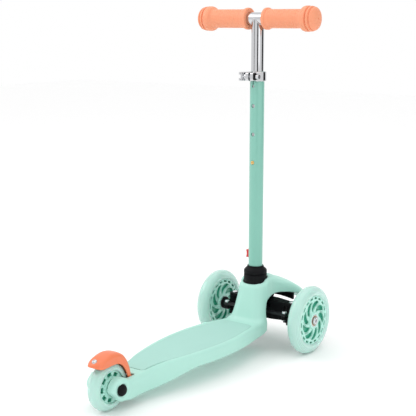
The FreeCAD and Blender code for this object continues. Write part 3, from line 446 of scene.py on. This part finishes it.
HALF_WIDTH = [(20, 29.5), (36, 33), (61, 38.5), (86, 43.4), (111, 48.2), (136, 52), (172, 54.6), (195, 54.4),
              (227, 51.8), (253, 48), (279, 42.8), (307, 36), (335, 28.8), (352, 25.6), (370, 24.6),
              (388, 26.4), (402, 28.4), (445, 28.6)]
TOP = [(30, 55), (316, 55), (338, 53.4), (356, 50.2), (372, 47.4), (386, 46.8),
       (396, 48.6), (404, 51.4), (416, 54)]
FLOOR = [(30, 32.5), (245, 32.3), (270, 29.4), (300, 22.8), (330, 17.4), (365, 14.4), (386, 14.2),
         (402, 17), (411, 19.4), (420, 23)]
RIDGE = [(-88, 82.5), (-84, 86.6), (-80, 90.2), (-70, 98.3), (-60, 105.4), (-50, 111.5), (-40, 116.6),
         (-30, 120.7), (-20, 123.8), (-10, 125.9), (0, 127), (14, 127)]
NOSE_HALF = [(-88, 30), (-84, 37.5), (-76, 44.5), (-60, 52), (-48, 54.4), (-40, 54.8), (-28, 51.5),
             (-15, 45), (0, 34), (10, 27), (14, 25)]
RIM = [(-88, 70), (-76, 76), (-60, 83.5), (-40, 90.5), (-15, 97.8), (5, 98.5)]
ARCH = [(-100, 10), (-100, 64), (-88, 70), (-76, 76), (-60, 83.5), (-40, 90.5), (-28, 94.8), (-15, 97.8),
        (-5, 98.8), (5, 98.5), (14, 97), (22, 94), (28, 89.5), (32, 84), (35.5, 74), (38.5, 60), (41, 45),
        (42, 33), (42, 10)]
MAT_HALF = [(76, 25), (82, 30.5), (100, 35.5), (125, 40), (150, 43.6), (175, 45.2), (200, 44.8), (230, 42.2),
            (260, 38.6), (290, 33), (312, 28.4), (330, 24.8), (345, 21.6), (358, 18.6)]


def hump_field(x, y, z):
    half = flow(z, [(30, 37.5), (50, 36.5), (70, 32.4), (90, 29.4), (110, 27.4), (127, 26)])
    front = flow(z, [(30, -10), (50, -10), (90, -9), (127, -8)])
    back = flow(z, [(30, 70), (50, 66.5), (60, 62), (75, 57.5), (100, 51.5), (127, 47)])
    body = round_box(x, y - (front + back) / 2, half, (back - front) / 2, 21)
    crown = z - flow(y, [(-10, 126), (0, 127), (22, 124.8), (46, 119), (60, 110)]) + x * x / 260
    return smax(smax(body, crown * 0.97, 7), 40 - z, 2)


def nose_field(x, y, z):
    top = (z - flow(y, RIDGE) + x * x / 220) / np.sqrt(1 + (0.01 * np.minimum(y, 0) - 0.06) ** 2)
    side = (np.abs(x) - flow(y, NOSE_HALF)) * 0.85
    form = smax(smax(top, side, 7), -88 - y, 5)
    return smax(form, smax(flow(y, RIM) - z, y - 24, 1), 2.5)


def crown_field(x, y, z):
    return smin(hump_field(x, y, z), nose_field(x, y, z), 12)


def deck_top(x, y):
    """The platform's height, with a low lip round the mat."""
    lip = np.clip((np.abs(x) - flow(y, MAT_HALF) + 1) / 6, 0, 1)
    lip = lip * lip * (3 - 2 * lip) * flow(y, [(80, 0), (120, 1.6), (300, 1.6), (345, 0)])
    return flow(y, TOP) + lip


def platform_field(x, y, z):
    """The platform with its rounded shoulders, and the round end of each arm of the fork."""
    plan = (np.abs(x) - flow(y, HALF_WIDTH)) * 0.98
    body = smax(smax(plan, z - deck_top(x, y), 9), flow(y, FLOOR) - z, 4)
    body = smax(body, slab(y, 30, 418), 1.5)
    # the arm's round end, cut off below along a line that climbs backwards
    arm_end = np.hypot(y - REAR_Y, z - REAR_Z) - 17.2
    arm_end = smax(arm_end, 0.634 * (y - REAR_Y) - 0.773 * (z - 21.5), 3)
    arm_end = smax(arm_end, plan, 5)
    return smin(body, arm_end, 7)


def cylinder(u, v, w, radius, low, high):
    return np.maximum(np.hypot(u, v) - radius, slab(w, low, high))


def deck_field(x, y, z):
    platform = platform_field(x, y, z)
    outer = smin(platform, crown_field(x, y, z), 9)
    # the open underside with its ribs
    ribs = np.minimum(np.abs(x) - 1.2, np.abs((y - 90) % 38 - 19) - 1.1)
    hollow = np.maximum(np.maximum(platform + WALL, z - 50.6), np.maximum(y - 342, 46 - y))
    hollow = smax(hollow, -smax(ribs, z - 200, 1), 1.5)
    shell_room = np.maximum(np.maximum(crown_field(x, y, z) + WALL, 45.5 - z), z - 118)
    solid = cut(outer, hollow, 1.0)
    solid = cut(solid, shell_room, 1.0)
    solid = cut(solid, polygon(y, z, ARCH), 1.8)
    front_wall = np.maximum(np.maximum(slab(y, 41.6, 45.6), outer + 0.6), z - 112)
    solid = np.minimum(solid, front_wall)
    # the wheel well between the arms
    well = smax(np.abs(x) - 15, 370 - y, 3)
    pivot_room = np.maximum(smax(np.abs(x) - 15, 362.5 - y, 2), z - 45.6)
    solid = cut(solid, np.minimum(well, pivot_room), 1.0)
    # what holds the socket and the truck mount
    boss = cylinder(x, y - COLUMN_Y, z, 21, 79, 119.5)
    pillars = cylinder(np.abs(x) - 11, np.abs(y + 21) - 11, z, 5, 109.5, 117)
    solid = np.minimum(solid, np.minimum(boss, pillars))
    solid = cut(solid, cylinder(x, y - COLUMN_Y, z, 17.1, 60, 140), 0.6)
    solid = cut(solid, cylinder(x, y - COLUMN_Y, z, 21.6, 118.5, 140), 0.8)
    # the mat's bed, the seats of the axle caps and the ring round each
    bed = smax(np.abs(x) - flow(y, MAT_HALF) - 0.1, smax(MAT_FRONT - 0.1 - y, y - MAT_END - 0.1, 3), 5)
    solid = cut(solid, np.maximum(bed, flow(y, TOP) - 1.4 - z), 0.3)
    r = np.hypot(y - REAR_Y, z - REAR_Z)
    return cut(solid, np.maximum(r - 9.2, 26.4 - np.abs(x)), 0.7)


deck = sculpt("deck_visual", deck_field, (-60, -92, 10), (60, 438, 131), 1.6, DECK, "deck")
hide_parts("deck_moulding")


def mat_field(x, y, z):
    plan = smax(np.abs(x) - flow(y, MAT_HALF), smax(MAT_FRONT - y, y - MAT_END, 3), 5)
    return smax(plan, slab(z - flow(y, TOP), -1.35, 0.3), 0.5)


mat = sculpt("mat_visual", mat_field, (-48, 72, 47), (48, 360, 57), 0.8, MAT, "deck")
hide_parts("grip_mat")


# ---------------------------------------------------------------- socket, column, clamp

socket = lathe("socket_visual", [
    (76, 0.01), (76, 17), (118.6, 17), (118.6, 21.2), (120.6, 21.2), (122.4, 20.5), (134.2, 20.5),
    (134.2, 12.7), (80, 12.7), (80, 0.01)], "Z", (0, COLUMN_Y, 0), BLACK, "deck", radius=0.7)
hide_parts("steering_socket")
cap = lathe("socket_cap_visual", [
    (134.5, 12.9), (134.5, 19), (135.8, 19), (135.8, 20.5), (141.6, 20.5, 1.5), (146.8, 15, 1.2), (149.4, 14.5),
    (149.4, 12.9)], "Z", (0, COLUMN_Y, 0), BLACK, "deck", radius=0.5)
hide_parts("socket_cap")


def hole(radius, z, material, body):
    """A round tool that cuts through the back wall of a tube."""
    return lathe("hole", [(6, 0.01), (6, radius), (16, radius), (16, 0.01)], "Y", (0, COLUMN_Y, z), material,
                 body, radius=0, around=48)


def column_visual():
    at = (0, COLUMN_Y, 0)
    tube = lathe("tube_visual", [(80.5, 11.3), (80.5, TUBE_RADIUS), (492, TUBE_RADIUS), (492, 11.3)], "Z", at,
                 TUBE, "column", radius=0.3, around=128)
    tools = [hole(3.5, LOW_HOLE_Z + HOLE_STEP * step, TUBE, "column") for step in range(3)]
    tools.append(hole(2.5, SLOT_FOOT_Z, TUBE, "column"))
    tools.append(block("slot", (-1, 1), (6, 16), (SLOT_FOOT_Z, 500), TUBE, "column", at))
    tools.append(block("window", (6, 16), (-4.6, 4.6), (161.7, 176.3), TUBE, "column", at))
    carve(tube, tools)
    soften(tube, 0.25, 2)
    return tube


tube = column_visual()
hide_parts("outer_tube")


def button_field(x, y, z):
    form = smax(round_box(y, z - BUTTON_Z, 4.4, 6.9, 1.2), slab(x, 9.8, 19), 1.2)
    return smax(form, 16.6 - np.hypot(x - 33.4, z - BUTTON_Z), 1)


button = sculpt("release_visual", button_field, (8, -6, 160), (20, 6, 178), 0.4, RED, "release",
                at=(0, COLUMN_Y, 0))
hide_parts("release_button")

snap = lathe("snap_visual", [(7.6, 0.01), (7.6, 4.6), (8.6, 4.6), (8.6, 3.4), (12.6, 3.4), (14, 2.6, 1.2),
                             (14.6, 0.8), (14.6, 0.01)], "Y", (0, COLUMN_Y, LOW_HOLE_Z), BRASS, "snap",
             radius=0.3, around=48)
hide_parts("snap_button")


def clamp_field(x, y, z):
    r = np.hypot(x, y)
    band = smax(r - 15.6, slab(z, -8.3, 8.3), 1.6)
    ears = smax(np.maximum(np.abs(x) - 8, slab(y, 6, 25.3)), slab(z, -7.5, 7.5), 2.0)
    ears = smax(ears, np.hypot(y - 19, z) - 8.4 + np.minimum(y - 19, 0) * 0.9, 1.5)
    form = smin(band, ears, 2.5)
    form = cut(form, r - 12.55, 0.5)
    form = cut(form, np.maximum(np.abs(x) - 1.5, -y), 0.6)
    form = cut(form, np.maximum(np.hypot(y - 19, z) - 2.6, slab(x, -20, 20)), 0.4)
    return form


clamp = sculpt("clamp_visual", clamp_field, (-17, -17, -10), (17, 27, 10), 0.5, CHROME, "column",
               at=(0, COLUMN_Y, CLAMP_Z))
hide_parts("clamp_collar")


def lever_field(x, y, z):
    r = np.hypot(x, y)
    angle = np.degrees(np.arctan2(y, x))
    curve = np.abs(r - flow(angle, [(-52, 26.6), (-36, 24.6), (-12, 22.8), (15, 23), (40, 23.2)])) - 1.7
    blade = smax(curve, np.maximum(-50 - angle, angle - 48) * 0.4, 1.2)
    blade = smax(blade, slab(z, -7, 7), 1.6)
    lobes = smax(np.hypot(x - 18.4, y - 19) - 6, slab(z, -7.5, 7.5), 1.2)
    form = smin(blade, lobes, 1.5)
    form = cut(form, np.maximum(np.maximum(slab(x, 5, 19.4), slab(y, 10, 28)), np.abs(z) - 2.9), 0.8)
    form = cut(form, np.maximum(np.maximum(slab(x, 18, 27), slab(y, 16.1, 28)), np.abs(z) - 2.9), 0.4)
    return cut(form, np.maximum(np.hypot(x - 18.4, y - 19) - 2.95, np.abs(z) - 20), 0.3)


lever = sculpt("lever_visual", lever_field, (8, -26, -9), (29, 27, 9), 0.5, CHROME, "lever",
               at=(0, COLUMN_Y, CLAMP_Z))
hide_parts("clamp_lever")


# ---------------------------------------------------------------- handlebar

stem = lathe("stem_visual", [(296, 9.6), (296, STEM_RADIUS), (BAR_Z, STEM_RADIUS), (BAR_Z, 9.6)], "Z",
             (0, COLUMN_Y, 0), CHROME, "handlebar", radius=0.3, around=128)
carve(stem, [hole(3.5, LOW_HOLE_Z, CHROME, "handlebar")])
bar = lathe("crossbar_visual", [(-118, 9.6), (-118, STEM_RADIUS), (118, STEM_RADIUS), (118, 9.6)], "X",
            (0, COLUMN_Y, BAR_Z), CHROME, "handlebar", radius=0.3, around=128)
seam = []
for k in range(96):
    turn_at = 2 * math.pi * k / 96
    across, along = STEM_RADIUS * math.cos(turn_at), STEM_RADIUS * math.sin(turn_at)
    drop = math.sqrt(max(0, STEM_RADIUS * STEM_RADIUS - along * along))
    seam.append((across * 1.01, along * 1.01, BAR_Z - drop))
bead = bead_along("weld_bead", seam, 0.9, CHROME, "handlebar", (0, COLUMN_Y, 0))
for item in (stem, bar, bead):
    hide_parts("stem_and_crossbar")

for side, sign in (("left", 1), ("right", -1)):
    path = [(16.8, 11.1), (16.8, 17.6), (17.8, 18.6), (22.2, 18.6), (23.2, 16.7), (27.6, 16.5), (28.6, 15.9)]
    # shallow rings along the barrel
    for ring in range(14):
        start = 31 + ring * 4
        path += [(start, 15.95, 0.2), (start + 0.4, 15.55, 0.2), (start + 1.0, 15.55, 0.2),
                 (start + 1.4, 15.95, 0.2)]
    path += [(88.6, 15.95, 1.2), (91.2, 17.2, 1.5), (93.6, 20.3, 1.5), (97, 21.4, 2), (103.3, 21.3, 0.6),
             (104.3, 18.6, 0.3), (105.9, 18.6, 0.3), (106.9, 21, 0.6), (109.6, 20.6, 0.6), (110.6, 17.9, 0.3),
             (112, 17.9, 0.3), (113, 19.7, 0.8), (116, 17.6, 1.4), (118.6, 13, 2), (120, 7, 2),
             (120.3, 1.6, 0.3), (119.4, 1.5, 0.3), (119.2, 0.01), (118.2, 0.01), (118.2, 11.1)]
    grip = lathe(f"grip_visual_{side}", path, "X", (0, COLUMN_Y, BAR_Z), GRIP, "handlebar", radius=0.5,
                 turn=0 if sign > 0 else 180, around=96, sharp=50)
    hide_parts(f"grip_{side}")


# ---------------------------------------------------------------- wheels

def swirl(a, b, count):
    """Distances to the teardrop pockets and to the fine lines between them."""
    r = np.hypot(a, b)
    angle = np.degrees(np.arctan2(b, a))
    pitch = 360 / count
    # the arms lean as they go out
    lean = flow(r, [(15, 0), (20, 4), (25, 12), (31, 24), (34, 31)])
    within = (angle - lean + pitch / 2) % pitch - pitch / 2
    across = np.abs(within) * math.pi / 180 * r
    half = flow(r, [(15, 0.5), (18, 2.2), (23, 4.9), (28, 7.1), (31.5, 7.2), (34.4, 4.6), (35.6, 0.1)])
    drop = smax(across - half, slab(r, 15.5, 35.4), 2.0)
    beside = (angle - lean - pitch * 0.5 + pitch / 2) % pitch - pitch / 2
    line = smax(np.abs(beside) * math.pi / 180 * r - 0.45, slab(r, 24, 33), 0.6)
    return drop, line


def front_core_field(x, y, z):
    r = np.hypot(y, z)
    face = flow(r, [(9, 12), (14.2, 12), (15.6, 9.6), (33, 9), (35, 9.4), (37, 9.6), (43, 9.6)])
    form = smax(np.maximum(r - 43.1, 9.8 - r), np.abs(x) - face, 1.0)
    form = cut(form, np.maximum(r - 11, 5 - np.abs(x)), 0.4)
    drop, line = swirl(y * np.sign(x) * -1 + (x == 0) * y, z, 9)
    depth = 5.2 - np.abs(x)
    form = cut(form, np.maximum(drop, depth), 0.8)
    form = cut(form, np.maximum(line, 6.4 - np.abs(x)), 0.5)
    # a raised lip round each pocket
    lip = np.maximum(np.abs(drop - 0.7) - 0.45, np.maximum(np.abs(x) - face - 0.55, 6 - np.abs(x)))
    form = smin(form, lip, 0.5)
    angle = np.degrees(np.arctan2(z, y))
    dash = smax(np.abs((angle + 10) % 20 - 10) * math.pi / 180 * r - 4.3, slab(r, 37.8, 41.2), 1.2)
    form = cut(form, np.maximum(dash, 2.2 - np.abs(x)), 0.7)
    return form


# painted shade: pockets, fine lines and rim dashes darken the deeper they sink into the face
def core_painted_shade(x, y, z):
    r = np.hypot(y, z)
    drop, line = swirl(y * np.sign(x) * -1, z, 9)
    depth = np.clip((9 - np.abs(x)) / 2.5, 0, 1)
    low = np.where((drop < 0.3) | (line < 0.2), depth, 0)
    angle = np.degrees(np.arctan2(z, y))
    dash = (np.abs((angle + 10) % 20 - 10) * math.pi / 180 * r < 4.6) & (np.abs(r - 39.5) < 2)
    return np.where(dash, np.clip((9 - np.abs(x)) / 4, 0, 1), low)


def bearing_visual(name, spot, s, body_out, body_in, at, turn):
    """A shielded ball bearing facing s, 1 or -1: outer ring and shield on the wheel, inner ring on the axle."""
    low, high = spot - 3.5 * s, spot + 3.5 * s
    ring = lathe(f"{name}_ring", [(low, 9.2), (low, 11), (high, 11), (high, 9.2)], "X", at, STEEL, body_out,
                 radius=0.4, turn=turn, around=64)
    shield = lathe(f"{name}_shield", [(spot + 2.6 * s, 6.5), (spot + 2.6 * s, 9.25), (spot + 3.1 * s, 9.25),
                                      (spot + 3.3 * s, 8.6), (spot + 3.3 * s, 6.5)], "X", at, BEARING, body_out,
                   radius=0.2, turn=turn, around=64)
    lathe(f"{name}_inner", [(low, 4), (low, 5.9), (high, 5.9), (high, 4)], "X", at, STEEL, body_in, radius=0.3,
          turn=turn, around=48)
    return ring, shield


def tyre_path(core_r, seat_half, shoulder_r, half, top_r, rings):
    """Half round tread with fine rings down each side wall."""
    path = [(-seat_half, core_r), (seat_half, core_r), (seat_half + 0.8, core_r + 1.2)]
    side = [(half - 0.6, shoulder_r - 3), (half, shoulder_r)]
    bend = []
    for degrees in np.linspace(8, 172, 42):
        a = math.radians(degrees)
        bend.append((half * math.cos(a) / math.cos(math.radians(8)) * 0.995,
                     shoulder_r + (top_r - shoulder_r) * (math.sin(a) - math.sin(math.radians(8)))
                     / (1 - math.sin(math.radians(8)))))
    for k in range(rings):
        i = 3 + k * 3
        for j in (i, len(bend) - 1 - i):
            bend[j] = (bend[j][0] * 0.972, bend[j][1] - 0.28)
    return path + side + bend + [(-a, r) for a, r in side[::-1]] + [(-seat_half - 0.8, core_r + 1.2)]


def front_wheel_visual(side, sign):
    at, turn = (sign * HALF_TRACK, 0, FRONT_Z), 0 if sign > 0 else 180
    body, hold = ("wheel_l", "steer_l") if sign > 0 else ("wheel_r", "steer_r")
    core = sculpt(f"core_visual_{side}", front_core_field, (-13, -44, -44), (13, 44, 44), 0.7, CORE, body, at,
                  turn, core_painted_shade)
    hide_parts(f"front_wheel_core_{side}")
    tyre = lathe(f"tyre_visual_{side}", tyre_path(43.1, 9, 49, 12, 60, 3), "X", at, TYRE, body, radius=0.3,
                 turn=turn, around=128, sharp=60)
    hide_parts(f"front_tyre_{side}")
    for spot, out in ((8.5, 1), (-8.5, -1)):
        for item in bearing_visual(f"bearing_{side}_{spot}", spot, out, body, hold, at, turn):
            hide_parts(f"front_bearings_{side}")
    bolt = lathe(f"bolt_visual_{side}", [
        (-34, 0.01), (-34, 3), (-12.2, 3), (-12.2, 4), (12, 4), (12, 6.6), (12.6, 6.8), (14, 6.6, 0.6),
        (14.8, 5.2, 0.6), (14.8, 2.9), (12.8, 2.7), (12.8, 0.01)], "X", at, STEEL, hold, radius=0.25, turn=turn,
        around=64)
    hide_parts(f"front_axle_bolt_{side}")


front_wheel_visual("left", 1)
front_wheel_visual("right", -1)


def rear_core_field(x, y, z):
    r = np.hypot(y, z)
    face = flow(r, [(9, 11), (14.2, 11), (15.6, 8.6), (24, 8), (26, 8.2)])
    form = smax(np.maximum(r - 25.1, 7 - r), np.abs(x) - face, 0.8)
    form = cut(form, np.maximum(r - 11, 4 - np.abs(x)), 0.4)
    angle = np.degrees(np.arctan2(z, y))
    cell = smax(np.abs((angle + 20) % 40 - 20) * math.pi / 180 * r - 4.4, slab(r, 17, 23), 1.2)
    return cut(form, np.maximum(cell, 3 - np.abs(x)), 0.7)


# painted shade: the recessed ring of cells darkens the deeper it sinks into the face
def rear_painted_shade(x, y, z):
    r = np.hypot(y, z)
    return np.where((r > 16.5) & (r < 23.5), np.clip((7.6 - np.abs(x)) / 2.5, 0, 1), 0)


rear_at = (0, REAR_Y, REAR_Z)
rear_core = sculpt("rear_core_visual", rear_core_field, (-12, -26, -26), (12, 26, 26), 0.6, CORE,
                   "wheel_rear", rear_at, 0, rear_painted_shade)
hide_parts("rear_wheel_core")
rear_tyre = lathe("rear_tyre_visual", tyre_path(25.1, 8, 28.5, 11, 38, 2), "X", rear_at, TYRE, "wheel_rear",
                  radius=0.3, around=128, sharp=60)
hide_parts("rear_tyre")
for s in (1, -1):
    cap_item = lathe(f"axle_cap_visual_{s}", [
        (28.6 * s, 0.01), (28.6 * s, 8.7), (31.6 * s, 8.75, 1.2), (34.1 * s, 6.6, 2), (35.1 * s, 3, 2),
        (35.2 * s, 0.01)], "X", rear_at, BLACK, "deck", radius=0.4, around=64)
    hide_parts("rear_axle_caps")


# ---------------------------------------------------------------- rear fender

# the shell's radius from the axle by angle, and its outline from the side
FENDER_ROUND = [(30, 57), (49.5, 54.4), (62, 52.8), (74, 52.6), (90, 53), (105, 53), (118, 52), (128, 49.8),
                (148, 45.6), (168, 43.4), (171.5, 46), (174, 51.5), (200, 52)]
FENDER_SIDE = [(365, 60), (372, 47.4), (370.5, 44.6), (366.5, 43.3), (364.8, 41), (366.5, 36.5), (371, 34.5),
               (378.5, 36), (383, 43), (385, 48.7), (388, 56), (391.5, 61.8), (395, 66.5), (398.4, 69.4),
               (402, 71.4), (407, 72.8), (413, 73.4), (421, 73.3), (430, 72.6), (437, 72.2), (443, 73),
               (448, 74.8), (451, 76.2), (458, 78.5), (458, 100), (365, 100)]


def fender_field(x, y, z):
    """A crowned shell round the wheel: its outline from above, its radius from the axle and its side view."""
    r = np.hypot(y - REAR_Y, z - REAR_Z)
    angle = np.degrees(np.arctan2(z - REAR_Z, y - REAR_Y))
    angle = np.where(angle < -90, angle + 360, angle)
    radius = flow(angle, FENDER_ROUND)
    plan = np.where(y > FENDER_TIP_Y, np.hypot(x, y - FENDER_TIP_Y), np.abs(x)) - FENDER_HALF
    form = smax(smax(r - radius + 1.4 * (x / FENDER_HALF) ** 2, plan, 7), polygon(y, z, FENDER_SIDE), 1.2)
    room = smax(smax(r - radius + 2.5 + 1.0 * (x / FENDER_HALF) ** 2, plan + 2.2, 4), 376.4 - y, 1)
    form = cut(form, room, 0.8)
    form = cut(form, np.maximum(np.abs(x) - 7, np.maximum(y - 376.6, z - 46.6)), 0.5)
    # the rivet's seat, and the pin's hole
    seat = np.hypot(x, (y - RIVET_Y) * RIVET_ALONG_Z - (z - RIVET_Z) * RIVET_ALONG_Y)
    along = (y - REAR_Y) * RIVET_ALONG_Y + (z - REAR_Z) * RIVET_ALONG_Z
    form = cut(form, np.maximum(seat - 4.4, 52.8 - along), 0.3)
    pin = np.hypot(y - BRAKE_PIN_Y, z - BRAKE_PIN_Z)
    return cut(form, np.maximum(pin - 3.1, np.abs(x) - 30), 0.4)


fender = sculpt("fender_visual", fender_field, (-16, 360, 32), (16, 454, 96), 0.7, ORANGE, "brake")
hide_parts("brake_fender")


# ---------------------------------------------------------------- pieces that stay as they are

paint(BLACK, "truck_mount", "truck_beam", "knuckle_left", "knuckle_right", "clamp_washer",
      "bar_end_plugs")
paint(CHROME, "cam_saddle")
paint(BLACK_STEEL, "lower_brace", "tie_rod")
paint(STEEL, "drive_pin", "mount_screws", "lean_shaft", "centring_spring", "rear_axle_bolt", "rear_axle_nut",
      "rear_axle_sleeves", "rear_bearing_inners", "brake_pivot_pin", "brake_spring", "lean_bushes", "kingpins",
      "tie_rod_pin_left", "tie_rod_pin_right", "front_bearing_inners_left", "front_bearing_inners_right",
      "magnet_spacer_left", "magnet_spacer_right", "rear_bearings", "brake_wear_plate", "brake_rivet",
      "clamp_bolt", "lever_pin", "release_catch_spring", "snap_spring")
paint(LAMP, "lamp_modules_left", "lamp_modules_right")


# ---------------------------------------------------------------- room, light and camera

floor_mesh = bpy.data.meshes.new("floor")
# half a millimetre under the wheels
floor_half, floor_z = 6, -0.0005
floor_mesh.from_pydata([(-floor_half, -floor_half, floor_z), (floor_half, -floor_half, floor_z),
                        (floor_half, floor_half, floor_z), (-floor_half, floor_half, floor_z)], [],
                       [(0, 1, 2, 3)])
floor = bpy.data.objects.new("floor", floor_mesh)
bpy.context.scene.collection.objects.link(floor)
floor_mesh.materials.append(material("floor", (0.985, 0.985, 0.985), 0.9, vary=0.004, grain=0.01,
                                     vary_scale=2))

world = bpy.data.worlds.new("studio")
bpy.context.scene.world = world
world.use_nodes = True
background = world.node_tree.nodes["Background"]
background.inputs["Color"].default_value = (1, 1, 1, 1)
background.inputs["Strength"].default_value = 1.0
bpy.context.scene.view_settings.view_transform = "Standard"


def light(name, where, aim, width, height, power):
    data = bpy.data.lights.new(name, "AREA")
    data.shape = "RECTANGLE"
    data.size, data.size_y = width, height
    data.energy = power
    item = bpy.data.objects.new(name, data)
    item.location = where
    item.rotation_euler = (Vector(aim) - Vector(where)).to_track_quat("-Z", "Y").to_euler()
    bpy.context.scene.collection.objects.link(item)


light("key", (1.5, 0.9, 1.9), (0, 0, 0.15), 1.2, 1.2, 11)
light("fill", (-1.6, 0.9, 1.2), (0, 0, 0.2), 1.5, 1.5, 4)
light("top", (0, -0.3, 2.4), (0, 0, 0), 2.0, 2.0, 7)


def card(name, azimuth, width, low, high, distance=1.6):
    """A dark card for polished metal to mirror. It casts no shadow and the camera doesn't see it."""
    a = math.radians(azimuth)
    middle = Vector((math.sin(a), math.cos(a), 0)) * distance
    along = Vector((math.cos(a), -math.sin(a), 0)) * width / 2
    corners = [middle - along + Vector((0, 0, low)), middle + along + Vector((0, 0, low)),
               middle + along + Vector((0, 0, high)), middle - along + Vector((0, 0, high))]
    mesh = bpy.data.meshes.new(name)
    mesh.from_pydata([tuple(c) for c in corners], [], [(0, 1, 2, 3)])
    mesh.materials.append(FLAG)
    item = bpy.data.objects.new(name, mesh)
    bpy.context.scene.collection.objects.link(item)
    item.visible_camera = False
    item.visible_diffuse = False
    item.visible_shadow = False
    item.visible_transmission = False


FLAG = material("flag black", (0.01, 0.01, 0.01), 0.9)
card("flag_left", 29.5, 0.28, 0.2, 1.6)
card("flag_camera", -40, 0.64, 0.2, 1.6)
card("flag_back", 220.5, 1.05, 0.2, 1.6)

camera_data = bpy.data.cameras.new("camera")
camera_data.lens = 88.1
camera_data.sensor_width = 36
camera_data.clip_end = 50
camera = bpy.data.objects.new("camera", camera_data)
camera.location = (-0.9967, 1.3036, 0.5795)
# degrees below level, of roll, and round from straight behind
look_down, roll, heading = 10.49, -0.065, 37.04
camera.rotation_euler = (math.radians(90 - look_down), math.radians(roll), math.radians(180 + heading))
bpy.context.scene.collection.objects.link(camera)
bpy.context.scene.camera = camera
